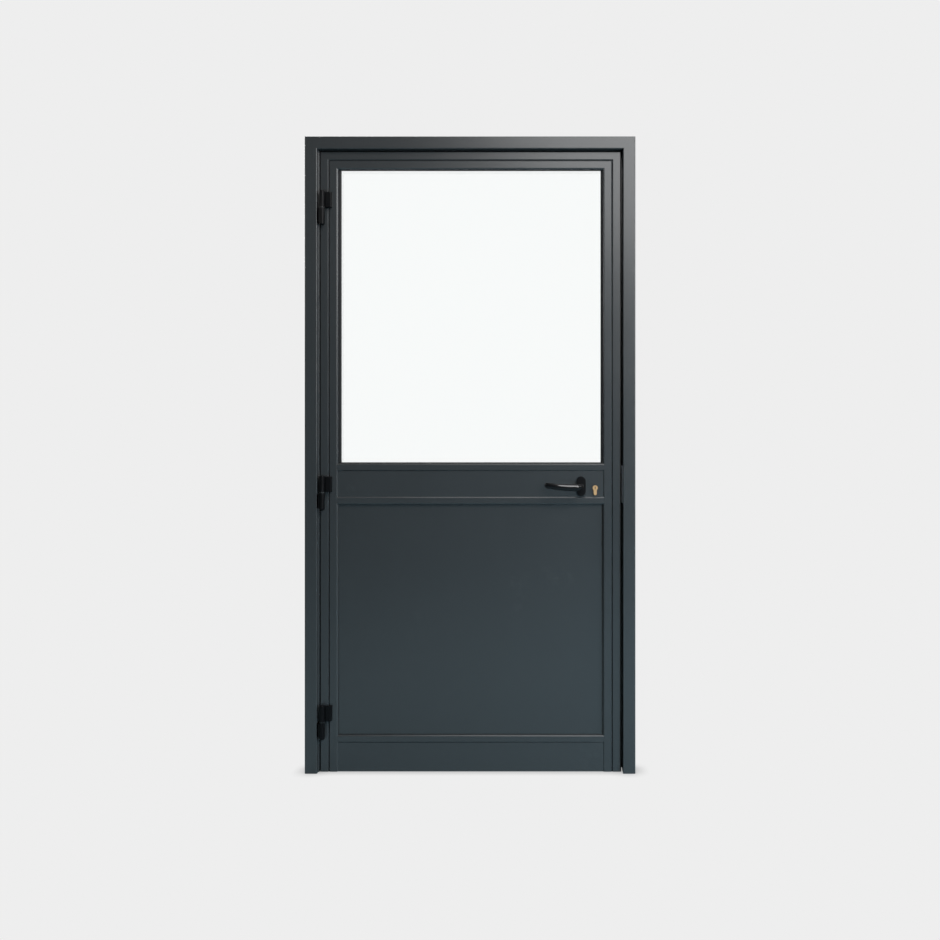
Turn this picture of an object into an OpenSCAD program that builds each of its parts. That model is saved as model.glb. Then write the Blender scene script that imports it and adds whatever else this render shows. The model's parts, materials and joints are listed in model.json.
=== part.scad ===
// Half-glazed hinged door with its frame, in powder-coated aluminium bars.
// Millimetres. Origin on the floor under the middle of the leaf, X to the lock side, Y to the back, Z up.

/* [Frame] */
// Outer width of the frame
frame_w = 1090; // [800:10:1300]
// Outer height of the frame
frame_h = 2100; // [1900:10:2500]
// Face width of the jambs and the head
frame_face = 41; // [36:1:55]
// How far the frame stands in front of the leaf
frame_reveal = 20; // [12:0.5:24]
// Room between the leaf's back and the stop
stop_room = 3.5; // [3:0.5:6]
// Thickness of the stop fin
stop_t = 8.5; // [8:0.5:12]
// Width of the stop fin
stop_w = 22; // [19:1:30]
// Wall of the frame bars
frame_wall = 2.2; // [1.8:0.1:3]
// Bevel on the frame's front edges
frame_bevel = 3.5; // [1:0.5:4]
// Joint between the jambs and the leaf
joint_w = 7; // [5.5:0.5:9]
// Joint between the head and the leaf
joint_top = 5; // [3:0.5:9]
// Heights of the wall fixings, measured up and down from the middle of the frame
fixing_offsets = [300, 700]; // [200:10:900]
// Hole for a wall fixing
fixing_d = 10.5; // [8:0.5:12]
// Access hole for its head in the reveal
fixing_head_d = 16; // [14:0.5:18]

/* [Leaf] */
// Thickness of the leaf
leaf_t = 50; // [46:1:60]
// Room under the leaf
floor_gap = 4; // [4:1:15]
// Wall of the leaf bars
leaf_wall = 2.4; // [2:0.1:3]
// Width of the stiles' main chamber
chamber_w = 42; // [40:1:60]
// Height of the lips that hold the glass and the panel
lip_h = 16; // [15:1:20]
// Thickness of those lips
lip_t = 9; // [8.5:0.5:11]
// Bevel on the leaf's outer edges
edge_bevel = 3; // [1:0.5:3]
// Bevel on the lips
lip_bevel = 4; // [2:0.5:4.5]
// Distance of the shadow groove from the leaf's edge
groove_u = 28; // [22:1:30]
// Half width and depth of the shadow groove
groove_d = 3; // [1.5:0.5:3.5]
// Width of the hardware groove in the leaf's edge
edge_groove_w = 25; // [25:0.5:28]
// Depth of the hardware groove
edge_groove_d = 3; // [2.5:0.5:4]
// Height of the mid rail's lower edge above the floor
mid_rail_z = 886; // [700:1:1000]
// Height of the mid rail
mid_rail_h = 136; // [134:1:180]
// Top of the bottom rail above the floor
bottom_rail_top = 122; // [110:1:250]
// Width of the raised bands on the rails
band_w = 25; // [22:1:28]
// How far the middle of a rail lies behind its bands
rail_sink = 3; // [1:0.5:3]

/* [Glass and panel] */
// Thickness of each pane
pane_t = 4; // [4:1:6]
// Thickness of the glazing unit and of the panel
infill_t = 24; // [20:1:26]
// Room between the lip and the infill
front_seal_t = 3; // [2.5:0.5:4]
// Thickness of the back seal
back_seal_t = 3; // [2.5:0.5:4]
// Room round the infill's edges
infill_room = 4.5; // [3:0.5:6]
// Part of the glass seal that shows
seal_show = 3.5; // [2:0.5:6]
// Height of the spacer bar
spacer_h = 7; // [6:0.5:10]
// Height of the glazing beads
bead_h = 11; // [10:0.5:16]
// Length of a setting block
block_l = 100; // [60:5:120]
// Distance of the setting blocks from the middle
block_x = 300; // [200:10:320]

/* [Hinges] */
// Height of the bottom hinge's split between its knuckles
hinge_low_z = 169; // [130:1:300]
// Height of the middle hinge's split
hinge_mid_z = 926; // [600:1:1200]
// Distance of the top hinge's split below the frame's top
hinge_top_drop = 234; // [180:1:400]
// Distance of the hinge axis from the leaf's edge
hinge_u = 9; // [6:0.5:10]
// Distance of the hinge axis in front of the leaf
hinge_front = 18; // [16:0.5:22]
// Outer diameter of a knuckle
knuckle_d = 18; // [16:0.5:20]
// Length of the upper knuckle
knuckle_up = 56; // [52:1:70]
// Length of the lower knuckle
knuckle_low = 59; // [52:1:70]
// Rounding of the upper end
knuckle_top_r = 3; // [1:0.5:6]
// Rounding of the lower end
knuckle_foot_r = 7; // [2:0.5:8]
// Diameter of the hinge pin
pin_d = 10; // [8:0.5:10.5]
// Wall of the bush
bush_wall = 1.5; // [1:0.25:1.75]
// Running clearance of the pin in its bush
pin_clear = 0.05; // [0.02:0.01:0.1]
// Height of the flag
flag_h = 50; // [40:1:50]
// Distance of the flag's end from the leaf's edge
flag_u = 39; // [38:1:41]
// Thickness of the flag
flag_t = 13; // [11:0.5:13.5]
// Thickness of the screw cover
cover_t = 2.5; // [1.5:0.5:3]
// Thickness of the wing plate in the joint
wing_t = 4; // [3:0.25:4.25]
// Depth of the wing plate behind the leaf's face
wing_y = 39; // [30:1:44]

/* [Lock] */
// Height of the lever's axis
lever_z = 946; // [940:1:960]
// Distance of the lever's axis from the leaf's edge
lever_u = 131; // [126:1:150]
// Height of the cylinder's axis
key_z = 941; // [938:1:944]
// Distance of the cylinder's axis from the leaf's edge
key_u = 84; // [81:1:90]
// Half length of the cylinder
key_half = 27; // [26:0.5:32]
// Thickness of the lock case
case_t = 16; // [15:0.5:18]
// Wall of the lock case
case_wall = 1.5; // [1:0.25:2]
// Forend plate: thickness
forend_t = 3; // [2.5:0.5:4]
// Forend plate: height
forend_h = 112; // [108:1:130]
// Forend plate: width
forend_w = 24; // [22:0.5:24.5]
// Travel of the latch bolt
latch_travel = 12; // [10:0.5:14]
// Travel of the dead bolt
bolt_travel = 20; // [15:1:21]
// Thickness of the latch bolt
latch_t = 12; // [10:0.5:13]
// Height of the latch bolt
latch_h = 20; // [16:1:22]
// Thickness of the dead bolt
bolt_t = 12; // [10:0.5:12]
// Height of the dead bolt
bolt_h = 22; // [16:1:22]
// Thickness of the strike plate
strike_t = 2.5; // [2:0.5:3]
// Clearance of a bolt in its hole
bolt_clear = 0.4; // [0.3:0.1:0.8]
// Room round a bolt in the strike plate
strike_room = 2; // [1:0.5:3]

/* [Levers] */
// Width of a rose
rose_w = 31; // [28:0.5:34]
// Height of a rose
rose_h = 66; // [62:1:72]
// Thickness of a rose
rose_t = 9; // [7:0.5:11]
// Bevel on a rose
rose_bevel = 2; // [0.5:0.25:2.5]
// Distance of the rose bolts from the lever's axis
rose_bolt_z = 21.5; // [21:0.5:23]
// Diameter of the lever's neck
neck_d = 18; // [16:0.5:19]
// Distance of the grip's middle from the rail's face
grip_stand = 45; // [42:1:60]
// Length of the grip from the lever's axis to its end
grip_l = 120; // [100:5:140]
// Height of the grip at the neck
grip_h = 23.5; // [20:0.5:24]
// Height of the grip at its end
grip_end_h = 18.5; // [12:0.5:20]
// Thickness of the grip at the neck
grip_t = 20; // [18:0.5:22]
// Thickness of the grip at its end
grip_end_t = 10; // [8:0.5:14]
// Rise of the grip's end above the axis
grip_rise = 8; // [0:0.5:12]
// Width of the square spindle
spindle_w = 8; // [7:0.5:9]

/* [Hidden] */
$fn = 48;
// Overshoot of a cutting solid past the face that it opens
over = 1;
// Free room between pieces that slide into each other
fit = 0.2;
deep = 400;

frame_hw = frame_w / 2;
leaf_hw = frame_hw - frame_face - joint_w;
leaf_top = frame_h - frame_face - joint_top;
leaf_front = -leaf_t / 2;
leaf_back = leaf_t / 2;
frame_front = leaf_front - frame_reveal;
stop_front = leaf_back + stop_room;
frame_back = stop_front + stop_t;
stile_w = chamber_w + lip_h;
mitre_reach = 120;
cleat_arm = 90;
cleat_pocket = 8;

infill_front = leaf_front + lip_t + front_seal_t;
infill_back = infill_front + infill_t;
bead_front = infill_back + back_seal_t;
lip_back = leaf_front + lip_t;
rail_front = leaf_front + rail_sink;
rail_back = leaf_back - rail_sink;
mid_rail_top = mid_rail_z + mid_rail_h;

// Rebate floors round the glass and the panel
rebate_hw = leaf_hw - chamber_w;
glass_rebate = [mid_rail_top - lip_h, leaf_top - chamber_w];
panel_rebate = [bottom_rail_top - lip_h, mid_rail_z + lip_h];

// Rib on the rebate floor that the beads snap over
rib_h = 5;
bead_wall = 1.5;
rib_y = [bead_front + bead_wall + fit, leaf_back - bead_wall - rail_sink];
// Slots that hold the feet of the seals
slot_w = 4;
slot_d = 1.5;
slot_in = 3;
slot_u = lip_h - slot_w - slot_in;
stop_slot_in = 10;
stop_slot_v = frame_face + stop_slot_in;
foot_w = slot_w - 2 * fit;
foot_d = slot_d - fit;
seal_clear = 0.5;
seal_w = 8;
seal_tip_w = 4;
seal_root = 1;
seal_edge = 5;
spacer_in = 1;
rib_back = 1.4;

// Sweep under the bottom rail
sweep_slot_w = 8;
sweep_slot_d = 6;
sweep_blade_t = 3;
sweep_floor = 1;

// Hinge places
hinge_z = [hinge_low_z, hinge_mid_z, frame_h - hinge_top_drop];
hinge_x = -leaf_hw + hinge_u;
hinge_y = leaf_front - hinge_front;
reveal_x = frame_hw - frame_face;
knuckle_r = knuckle_d / 2;
pin_r = pin_d / 2;
bush_r = pin_r + pin_clear + bush_wall;
bush_flange = 1;
flange_gap = 0.1;
flange_in = 0.5;
pin_end = 46;
bush_end = 44;
flag_low = 2;
flag_bevel = 3;
cover_bevel = 1.5;
flag_front = leaf_front - flag_t;
flag_end_x = -leaf_hw + flag_u;
flag_screw_in = 7;
flag_screw_x = flag_end_x - flag_screw_in;
flag_screw_z = [14, 40];
wing_h = 46;
wing_low = 4;
wing_neck = 6;
wing_end_y = leaf_front + wing_y;
wing_screw_in = 20;
wing_screw_y = leaf_front + wing_screw_in;
wing_screw_z = [-38, -16];
screw_r = 2.4;
screw_head_r = 4.6;
screw_head_h = 2.2;
screw_l = 12;
thread_r = 2.5;

// Lock places
lever_x = leaf_hw - lever_u;
key_x = leaf_hw - key_u;
case_back_room = 28;
case_half_h = 40;
case_back_x = lever_x - case_back_room;
case_front_x = leaf_hw - forend_t;
case_low = lever_z - case_half_h;
case_high = lever_z + case_half_h;
case_mid = (case_low + case_high) / 2;
mortise_room = 1;
connector_l = 30;
connector_bore_r = 2;
latch_rise = 24;
latch_z = lever_z + latch_rise;
latch_head_l = 21;
latch_tip = 1;
latch_tail_room = 20;
latch_tail_x = lever_x + latch_tail_room;
latch_tail_h = 8;
latch_tail_t = 6;
bolt_drop = 6;
bolt_z = key_z - bolt_drop;
bolt_guide = 44;
bolt_back_x = leaf_hw - bolt_guide - bolt_travel;
key_r = 8.5;
key_flag_r = 5;
key_flag_drop = 19.5;
key_flag_z = key_z - key_flag_drop;
key_slot = 5.3;
key_bridge_drop = 18.5;
key_bridge_z = key_z - key_bridge_drop;
key_hole_room = 1;
plug_r = 6.5;
plug_clear = 0.06;
plug_proud = 0.3;
cam_w = 10;
cam_r = 15;
cam_hub_r = 7.5;
cam_tip_w = 8;
keyway_w = 2.5;
keyway_h = 9;
keyway_l = 18;
key_screw_drop = 21.5;
key_screw_z = key_z - key_screw_drop;
follower_r = 10.8;
follower_half = 9;
follower_arm_r = 17;
follower_arm_w = 8;
rose_bolt_r = 2.2;
rose_hole_r = 2.5;
rose_bore_room = 0.4;
rose_bore_r = neck_d / 2 + rose_bore_room;
rose_front = rail_front - rose_t;
rose_bolt_cover = 3;
rose_bolt_end = rose_front + rose_bolt_cover;
grip_y = rail_front - grip_stand;
neck_sunk = 6;
neck_end = rose_front + neck_sunk;
spindle_in = 6;
spindle_end = grip_y + spindle_in;
grub_r = 2.5;
grub_out = 9;
grub_y = rose_front - grub_out;
strike_h = 124;
strike_w = 30;
strike_x = reveal_x - strike_t;
strike_mid = (latch_z + bolt_z) / 2;
strike_screw_in = 8;
strike_screw_z = [strike_mid - strike_h / 2 + strike_screw_in, strike_mid + strike_h / 2 - strike_screw_in];
forend_mid = (latch_z + bolt_z) / 2;
forend_screw_in = 5.5;
forend_screw_z = [forend_mid - forend_h / 2 + forend_screw_in, forend_mid + forend_h / 2 - forend_screw_in];

paint = "#3b3f44";
black = "#16171a";
rubber = "#1b1c1e";
steel = "#a9adb2";
brass = "#c39b5f";
clear_glass = [0.85, 0.93, 0.93, 0.35];

// A prism along Y with a front-view outline
module front_prism(outline, y0 = -deep, y1 = deep) {
    translate([0, y1, 0]) rotate([90, 0, 0]) linear_extrude(y1 - y0) polygon(outline);
}

// A box between two corners
module span(low, high) {
    translate(low) cube(high - low);
}

// A round bar along X, Y or Z
module round_x(r, x0, x1, y, z) {
    translate([x0, y, z]) rotate([0, 90, 0]) cylinder(r = r, h = x1 - x0);
}

module round_y(r, x, z, y0, y1) {
    translate([x, y1, z]) rotate([90, 0, 0]) cylinder(r = r, h = y1 - y0);
}

// Bars round an opening: the section is drawn with its first axis pointing from the outline inwards
module bar_left(hw, z0, z1, foot = false) {
    low = foot ? 0 : mitre_reach;
    intersection() {
        translate([-hw, 0, z0]) linear_extrude(z1 - z0) children();
        front_prism([[-hw, z0], [-hw, z1], [mitre_reach - hw, z1 - mitre_reach], [mitre_reach - hw, z0 + low]]);
    }
}

module bar_right(hw, z0, z1, foot = false) {
    mirror([1, 0, 0]) bar_left(hw, z0, z1, foot) children();
}

module bar_top(hw, z1) {
    intersection() {
        translate([0, 0, z1]) rotate([0, 90, 0]) linear_extrude(2 * hw, center = true) children();
        front_prism([
            [-hw, z1], [hw, z1], [hw - mitre_reach, z1 - mitre_reach], [mitre_reach - hw, z1 - mitre_reach]
        ]);
    }
}

module bar_bottom(hw, z0) {
    intersection() {
        translate([0, 0, z0]) rotate([0, -90, 0]) linear_extrude(2 * hw, center = true) children();
        front_prism([
            [-hw, z0], [hw, z0], [hw - mitre_reach, z0 + mitre_reach], [mitre_reach - hw, z0 + mitre_reach]
        ]);
    }
}

module bar_ring(hw, z) {
    bar_left(hw, z[0], z[1]) children();
    bar_right(hw, z[0], z[1]) children();
    bar_top(hw, z[1]) children();
    bar_bottom(hw, z[0]) children();
}

// Countersunk screw along +X with its head at x = 0, and the hole that takes it
module screw_x(length) {
    rotate([0, 90, 0]) cylinder(r1 = screw_head_r, r2 = screw_r, h = screw_head_h);
    rotate([0, 90, 0]) cylinder(r = screw_r, h = length);
}

module screw_hole_x(length) {
    rotate([0, 90, 0]) cylinder(r1 = screw_head_r + fit, r2 = screw_r + fit, h = screw_head_h);
    translate([-over, 0, 0]) rotate([0, 90, 0]) cylinder(r = screw_r + fit, h = length + over);
}

// Frame

module frame_section() {
    difference() {
        polygon([
            [0, frame_front + frame_bevel], [frame_bevel, frame_front],
            [frame_face - frame_bevel, frame_front], [frame_face, frame_front + frame_bevel],
            [frame_face, stop_front], [frame_face + stop_w, stop_front],
            [frame_face + stop_w, frame_back], [0, frame_back]
        ]);
        translate([frame_wall, frame_front + frame_wall])
            square([frame_face - 2 * frame_wall, frame_back - frame_front - 2 * frame_wall]);
        translate([frame_face - 2 * frame_wall, stop_front + frame_wall])
            square([stop_w + frame_wall, stop_t - 2 * frame_wall]);
        translate([stop_slot_v, stop_front - over])
            square([slot_w, slot_d + over]);
    }
}

// Wall fixings through a jamb: the bore in the outer wall and the access hole in the reveal
module fixing_holes() {
    for (dz = fixing_offsets, s = [-1, 1]) {
        z = frame_h / 2 + s * dz;
        round_x(fixing_d / 2, -frame_hw - over, -frame_hw + frame_face / 2, 0, z);
        round_x(fixing_head_d / 2, -frame_hw + frame_face / 2, over - reveal_x, 0, z);
    }
}

module hinge_jamb() {
    color(paint) difference() {
        bar_left(frame_hw, 0, frame_h, true) frame_section();
        fixing_holes();
        for (z = hinge_z, dz = wing_screw_z)
            round_x(thread_r, -reveal_x - 2 * frame_wall, over - reveal_x, wing_screw_y, z + dz);
    }
}

// Openings in the reveal and the strike plate for one bolt
module keep_hole(z, t, h, room) {
    span([strike_x - over, -t / 2 - room, z - h / 2 - room],
        [reveal_x + 2 * frame_wall, t / 2 + room, z + h / 2 + room]);
}

module keep_holes(room) {
    keep_hole(latch_z, latch_t, latch_h, room);
    keep_hole(bolt_z, bolt_t, bolt_h, room);
}

module lock_jamb() {
    color(paint) difference() {
        bar_right(frame_hw, 0, frame_h, true) frame_section();
        mirror([1, 0, 0]) fixing_holes();
        keep_holes(strike_room + fit);
        for (z = strike_screw_z)
            round_x(thread_r, reveal_x - over, reveal_x + 2 * frame_wall, 0, z);
    }
}

module head() {
    color(paint) bar_top(frame_hw, frame_h) frame_section();
}

// L-shaped block that draws a mitre together inside the chambers of two bars
module corner_cleat(hw, top, inset, width, y0, y1) {
    arm = cleat_arm;
    pocket = cleat_pocket;
    x0 = -hw + inset;
    z1 = top - inset;
    difference() {
        front_prism([
            [x0, z1], [x0 + arm, z1], [x0 + arm, z1 - width], [x0 + width, z1 - width],
            [x0 + width, z1 - arm], [x0, z1 - arm]
        ], y0, y1);
        front_prism([
            [x0 + pocket, z1 - pocket], [x0 + arm + over, z1 - pocket],
            [x0 + arm + over, z1 - width + pocket], [x0 + width - pocket, z1 - width + pocket],
            [x0 + width - pocket, z1 - arm - over], [x0 + pocket, z1 - arm - over]
        ], y0 + pocket, y1 + over);
    }
}

module frame_corner_cleats() {
    inset = frame_wall + fit;
    color(steel) for (m = [0, 1]) mirror([m, 0, 0])
        corner_cleat(frame_hw, frame_h, inset, frame_face - 2 * inset, frame_front + inset, stop_front);
}

module stop_seal_section() {
    top = stop_slot_v + slot_w / 2;
    face = leaf_back + seal_clear;
    polygon([
        [top - foot_w / 2, stop_front + foot_d], [top - foot_w / 2, stop_front],
        [top - seal_w / 2, stop_front], [top - seal_w / 2, stop_front - seal_root],
        [top - seal_tip_w / 2, face], [top + seal_tip_w / 2, face],
        [top + seal_w / 2, stop_front - seal_root], [top + seal_w / 2, stop_front],
        [top + foot_w / 2, stop_front], [top + foot_w / 2, stop_front + foot_d]
    ]);
}

module stop_seal() {
    color(rubber) {
        bar_left(frame_hw, 0, frame_h, true) stop_seal_section();
        bar_right(frame_hw, 0, frame_h, true) stop_seal_section();
        bar_top(frame_hw, frame_h) stop_seal_section();
    }
}

module strike_plate() {
    color(steel) difference() {
        span([strike_x, -strike_w / 2, strike_mid - strike_h / 2],
            [reveal_x, strike_w / 2, strike_mid + strike_h / 2]);
        keep_holes(strike_room);
        for (z = strike_screw_z) translate([strike_x, 0, z]) screw_hole_x(screw_l);
    }
}

module strike_screws() {
    color(steel) for (z = strike_screw_z) translate([strike_x, 0, z]) screw_x(screw_l);
}

// Hinges

// Half outline of a knuckle with one rounded end
module knuckle_outline(length, round_r) {
    square([knuckle_r, length - round_r]);
    square([knuckle_r - round_r, length]);
    translate([knuckle_r - round_r, length - round_r]) intersection() {
        circle(round_r);
        square(round_r);
    }
}

module hinge_base(z) {
    low = bush_flange / 2 + flange_gap;
    color(black) translate([0, 0, z]) difference() {
        union() {
            translate([hinge_x, hinge_y, -low]) mirror([0, 0, 1]) rotate_extrude()
                knuckle_outline(knuckle_low - low, knuckle_foot_r);
            span([-reveal_x, hinge_y - wing_neck / 2, -wing_low - wing_h],
                [-reveal_x + wing_t, wing_end_y, -wing_low]);
            span([-reveal_x, hinge_y - wing_neck / 2, -wing_low - wing_h],
                [hinge_x, hinge_y + wing_neck / 2, -wing_low]);
        }
        translate([hinge_x, hinge_y, -pin_end - fit]) cylinder(r = pin_r + pin_clear, h = pin_end);
        for (dz = wing_screw_z)
            translate([wing_t - reveal_x, wing_screw_y, dz]) mirror([1, 0, 0]) screw_hole_x(screw_l);
    }
}

module hinge_base_bottom() { hinge_base(hinge_z[0]); }
module hinge_base_mid() { hinge_base(hinge_z[1]); }
module hinge_base_top() { hinge_base(hinge_z[2]); }

module hinge_pins() {
    color(steel) for (z = hinge_z)
        translate([hinge_x, hinge_y, z - pin_end]) cylinder(r = pin_r, h = 2 * pin_end - fit);
}

module hinge_base_screws() {
    color(steel) for (z = hinge_z, dz = wing_screw_z)
        translate([wing_t - reveal_x, wing_screw_y, z + dz]) mirror([1, 0, 0]) screw_x(screw_l);
}

module hinge_flag(z) {
    low = bush_flange / 2;
    bevel = flag_bevel;
    color(black) translate([0, 0, z]) difference() {
        union() {
            translate([hinge_x, hinge_y, low]) rotate_extrude()
                knuckle_outline(knuckle_up - low, knuckle_top_r);
            translate([0, 0, flag_low]) linear_extrude(flag_h) polygon([
                [hinge_x, flag_front], [flag_end_x - bevel, flag_front], [flag_end_x, flag_front + bevel],
                [flag_end_x, leaf_front], [hinge_x + bevel, leaf_front], [hinge_x, leaf_front - bevel]
            ]);
        }
        translate([hinge_x, hinge_y, 0]) cylinder(r = bush_r, h = pin_end + fit);
        for (dz = flag_screw_z)
            translate([flag_screw_x, flag_front, dz]) rotate([0, 0, 90]) screw_hole_x(2 * flag_t);
    }
}

module hinge_flag_bottom() { hinge_flag(hinge_z[0]); }
module hinge_flag_mid() { hinge_flag(hinge_z[1]); }
module hinge_flag_top() { hinge_flag(hinge_z[2]); }

module hinge_bushes() {
    color("ivory") for (z = hinge_z) translate([hinge_x, hinge_y, z - bush_flange / 2]) difference() {
        union() {
            cylinder(r = knuckle_r - flange_in, h = bush_flange);
            cylinder(r = bush_r, h = bush_end);
        }
        translate([0, 0, -over]) cylinder(r = pin_r + pin_clear, h = bush_end + 2 * over);
    }
}

module hinge_flag_screws() {
    color(steel) for (z = hinge_z, dz = flag_screw_z)
        translate([flag_screw_x, flag_front, z + dz]) rotate([0, 0, 90]) screw_x(flag_t + leaf_wall + fit);
}

module hinge_flag_covers() {
    bevel = cover_bevel;
    x0 = hinge_x + knuckle_r + fit;
    x1 = flag_end_x;
    y1 = flag_front;
    color(black) for (z = hinge_z) translate([0, 0, z + flag_low]) linear_extrude(flag_h) polygon([
        [x0, y1], [x1 - bevel, y1], [x1 - bevel, y1 - cover_t + bevel], [x1 - 2 * bevel, y1 - cover_t],
        [x0 + bevel, y1 - cover_t], [x0, y1 - cover_t + bevel]
    ]);
}

// Leaf

module leaf_outline() {
    half = edge_groove_w / 2;
    polygon([
        [0, leaf_front + edge_bevel], [edge_bevel, leaf_front],
        [groove_u - groove_d, leaf_front], [groove_u, leaf_front + groove_d], [groove_u + groove_d, leaf_front],
        [stile_w - lip_bevel, leaf_front], [stile_w, leaf_front + lip_bevel], [stile_w, lip_back],
        [chamber_w, lip_back], [chamber_w, rib_y[0]],
        [chamber_w + rib_h, rib_y[0]], [chamber_w + rib_h, rib_y[1]],
        [chamber_w, rib_y[1]], [chamber_w, leaf_back], [0, leaf_back], [0, half], [edge_groove_d, half],
        [edge_groove_d, -half], [0, -half]
    ]);
}

module leaf_section() {
    inner = edge_groove_d + leaf_wall;
    difference() {
        leaf_outline();
        difference() {
            translate([inner, leaf_front + leaf_wall])
                square([chamber_w - leaf_wall - inner, leaf_t - 2 * leaf_wall]);
            polygon([
                [groove_u - groove_d - leaf_wall, leaf_front],
                [groove_u, leaf_front + groove_d + rib_back * leaf_wall],
                [groove_u + groove_d + leaf_wall, leaf_front]
            ]);
        }
        translate([chamber_w - 2 * leaf_wall, leaf_front + leaf_wall])
            square([lip_h + 2 * leaf_wall - lip_bevel, lip_t - 2 * leaf_wall]);
        translate([chamber_w + slot_u, lip_back - slot_d]) square([slot_w, slot_d + over]);
    }
}

module hinge_stile() {
    color(paint) difference() {
        bar_left(leaf_hw, floor_gap, leaf_top, true) leaf_section();
        for (z = hinge_z, dz = flag_screw_z)
            round_y(thread_r, flag_screw_x, z + dz, leaf_front - over, leaf_front + 2 * leaf_wall);
    }
}

// Space that the lock case needs
module case_space(room) {
    span([case_back_x - room, -case_t / 2 - room, case_low - room],
        [case_front_x + over, case_t / 2 + room, case_high + room]);
}

module lock_stile() {
    color(paint) difference() {
        bar_right(leaf_hw, floor_gap, leaf_top, true) leaf_section();
        case_space(mortise_room);
        for (z = forend_screw_z)
            round_x(thread_r, case_front_x - 2 * leaf_wall, case_front_x + over, 0, z);
        round_x(thread_r + fit, case_front_x - 2 * leaf_wall, case_front_x + over, 0, key_screw_z);
    }
}

module top_rail() {
    color(paint) bar_top(leaf_hw, leaf_top) leaf_section();
}

// The stiles' filled outline, which the rails' ends are cut to
module stile_envelope() {
    bar_left(leaf_hw, floor_gap - over, leaf_top, true) leaf_outline();
    bar_right(leaf_hw, floor_gap - over, leaf_top, true) leaf_outline();
}

// Front half of a rail's outline from one edge: lip, raised band and step down to the sunk middle
function band_points() = [
    [lip_h, lip_back], [0, lip_back], [0, leaf_front + lip_bevel], [lip_bevel, leaf_front],
    [band_w - rail_sink, leaf_front], [band_w, rail_front]
];

module mid_rail_section() {
    h = mid_rail_h;
    band = band_points();
    far = [for (i = [len(band) - 1 : -1 : 0]) [h - band[i][0], band[i][1]]];
    ribs = [
        [h - lip_h, rib_y[0]], [h - lip_h + rib_h, rib_y[0]],
        [h - lip_h + rib_h, rib_y[1]], [h - lip_h, rib_y[1]],
        [h - lip_h, rail_back], [lip_h, rail_back],
        [lip_h, rib_y[1]], [lip_h - rib_h, rib_y[1]], [lip_h - rib_h, rib_y[0]], [lip_h, rib_y[0]]
    ];
    difference() {
        polygon(concat(band, far, ribs));
        translate([lip_h + leaf_wall, rail_front + leaf_wall])
            square([h - 2 * lip_h - 2 * leaf_wall, rail_back - rail_front - 2 * leaf_wall]);
        translate([lip_bevel, leaf_front + leaf_wall]) square([lip_h - lip_bevel, lip_t - 2 * leaf_wall]);
        translate([h - lip_h, leaf_front + leaf_wall]) square([lip_h - lip_bevel, lip_t - 2 * leaf_wall]);
        for (u = [lip_h - slot_u - slot_w, h - lip_h + slot_u])
            translate([u, lip_back - slot_d]) square([slot_w, slot_d + over]);
    }
}

// Profile outline of the cylinder, grown by some room
module key_profile(room, y0, y1) {
    round_y(key_r + room, key_x, key_z, y0, y1);
    round_y(key_flag_r + room, key_x, key_flag_z, y0, y1);
    span([key_x - key_flag_r - room, y0, key_flag_z], [key_x + key_flag_r + room, y1, key_z]);
}

// Holes for the lever's neck and the rose bolts between two planes
module rose_holes(neck_r, bolt_r, y0, y1) {
    round_y(neck_r, lever_x, lever_z, y0, y1);
    for (s = [-1, 1]) round_y(bolt_r, lever_x, lever_z + s * rose_bolt_z, y0, y1);
}

module rail_bar(z0) {
    translate([0, 0, z0]) rotate([0, -90, 0]) linear_extrude(2 * rebate_hw, center = true) children();
}

module mid_rail() {
    color(paint) difference() {
        rail_bar(mid_rail_z) mid_rail_section();
        stile_envelope();
        rose_holes(rose_bore_r, rose_hole_r + fit, leaf_front - over, leaf_back + over);
        key_profile(key_hole_room, leaf_front - over, leaf_back + over);
    }
}

module bottom_rail_section() {
    h = bottom_rail_top - floor_gap;
    far = [for (p = band_points()) [h - p[0], p[1]]];
    front = [for (i = [len(far) - 1 : -1 : 0]) far[i]];
    half = sweep_slot_w / 2;
    rest = [
        [h - lip_h, rib_y[0]], [h - lip_h + rib_h, rib_y[0]],
        [h - lip_h + rib_h, rib_y[1]], [h - lip_h, rib_y[1]],
        [h - lip_h, rail_back], [0, rail_back], [0, half],
        [sweep_slot_d, half], [sweep_slot_d, -half], [0, -half],
        [0, rail_front]
    ];
    difference() {
        polygon(concat(front, rest));
        translate([sweep_slot_d + leaf_wall, rail_front + leaf_wall])
            square([h - lip_h - sweep_slot_d - 2 * leaf_wall, rail_back - rail_front - 2 * leaf_wall]);
        translate([h - lip_h, leaf_front + leaf_wall]) square([lip_h - lip_bevel, lip_t - 2 * leaf_wall]);
        translate([h - lip_h + slot_u, lip_back - slot_d]) square([slot_w, slot_d + over]);
    }
}

module bottom_rail() {
    color(paint) difference() {
        rail_bar(floor_gap) bottom_rail_section();
        stile_envelope();
    }
}

module leaf_corner_cleats() {
    inset = edge_groove_d + leaf_wall + fit;
    inner = chamber_w - leaf_wall - fit;
    y0 = leaf_front + groove_d + 2 * leaf_wall;
    color(steel) for (m = [0, 1]) mirror([m, 0, 0])
        corner_cleat(leaf_hw, leaf_top, inset, inner - inset, y0, leaf_back - leaf_wall - fit);
}

// Blocks inside the rails' ends, which the stiles are screwed to
module rail_connector(z0, z1) {
    y0 = lip_back + fit;
    y1 = rib_y[0] - fit;
    quarter = (z1 - z0) / 4;
    difference() {
        span([rebate_hw - connector_l, y0, z0], [rebate_hw, y1, z1]);
        for (z = [z0 + quarter, z1 - quarter])
            round_x(connector_bore_r, rebate_hw - connector_l - over, rebate_hw + over, (y0 + y1) / 2, z);
    }
}

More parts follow.
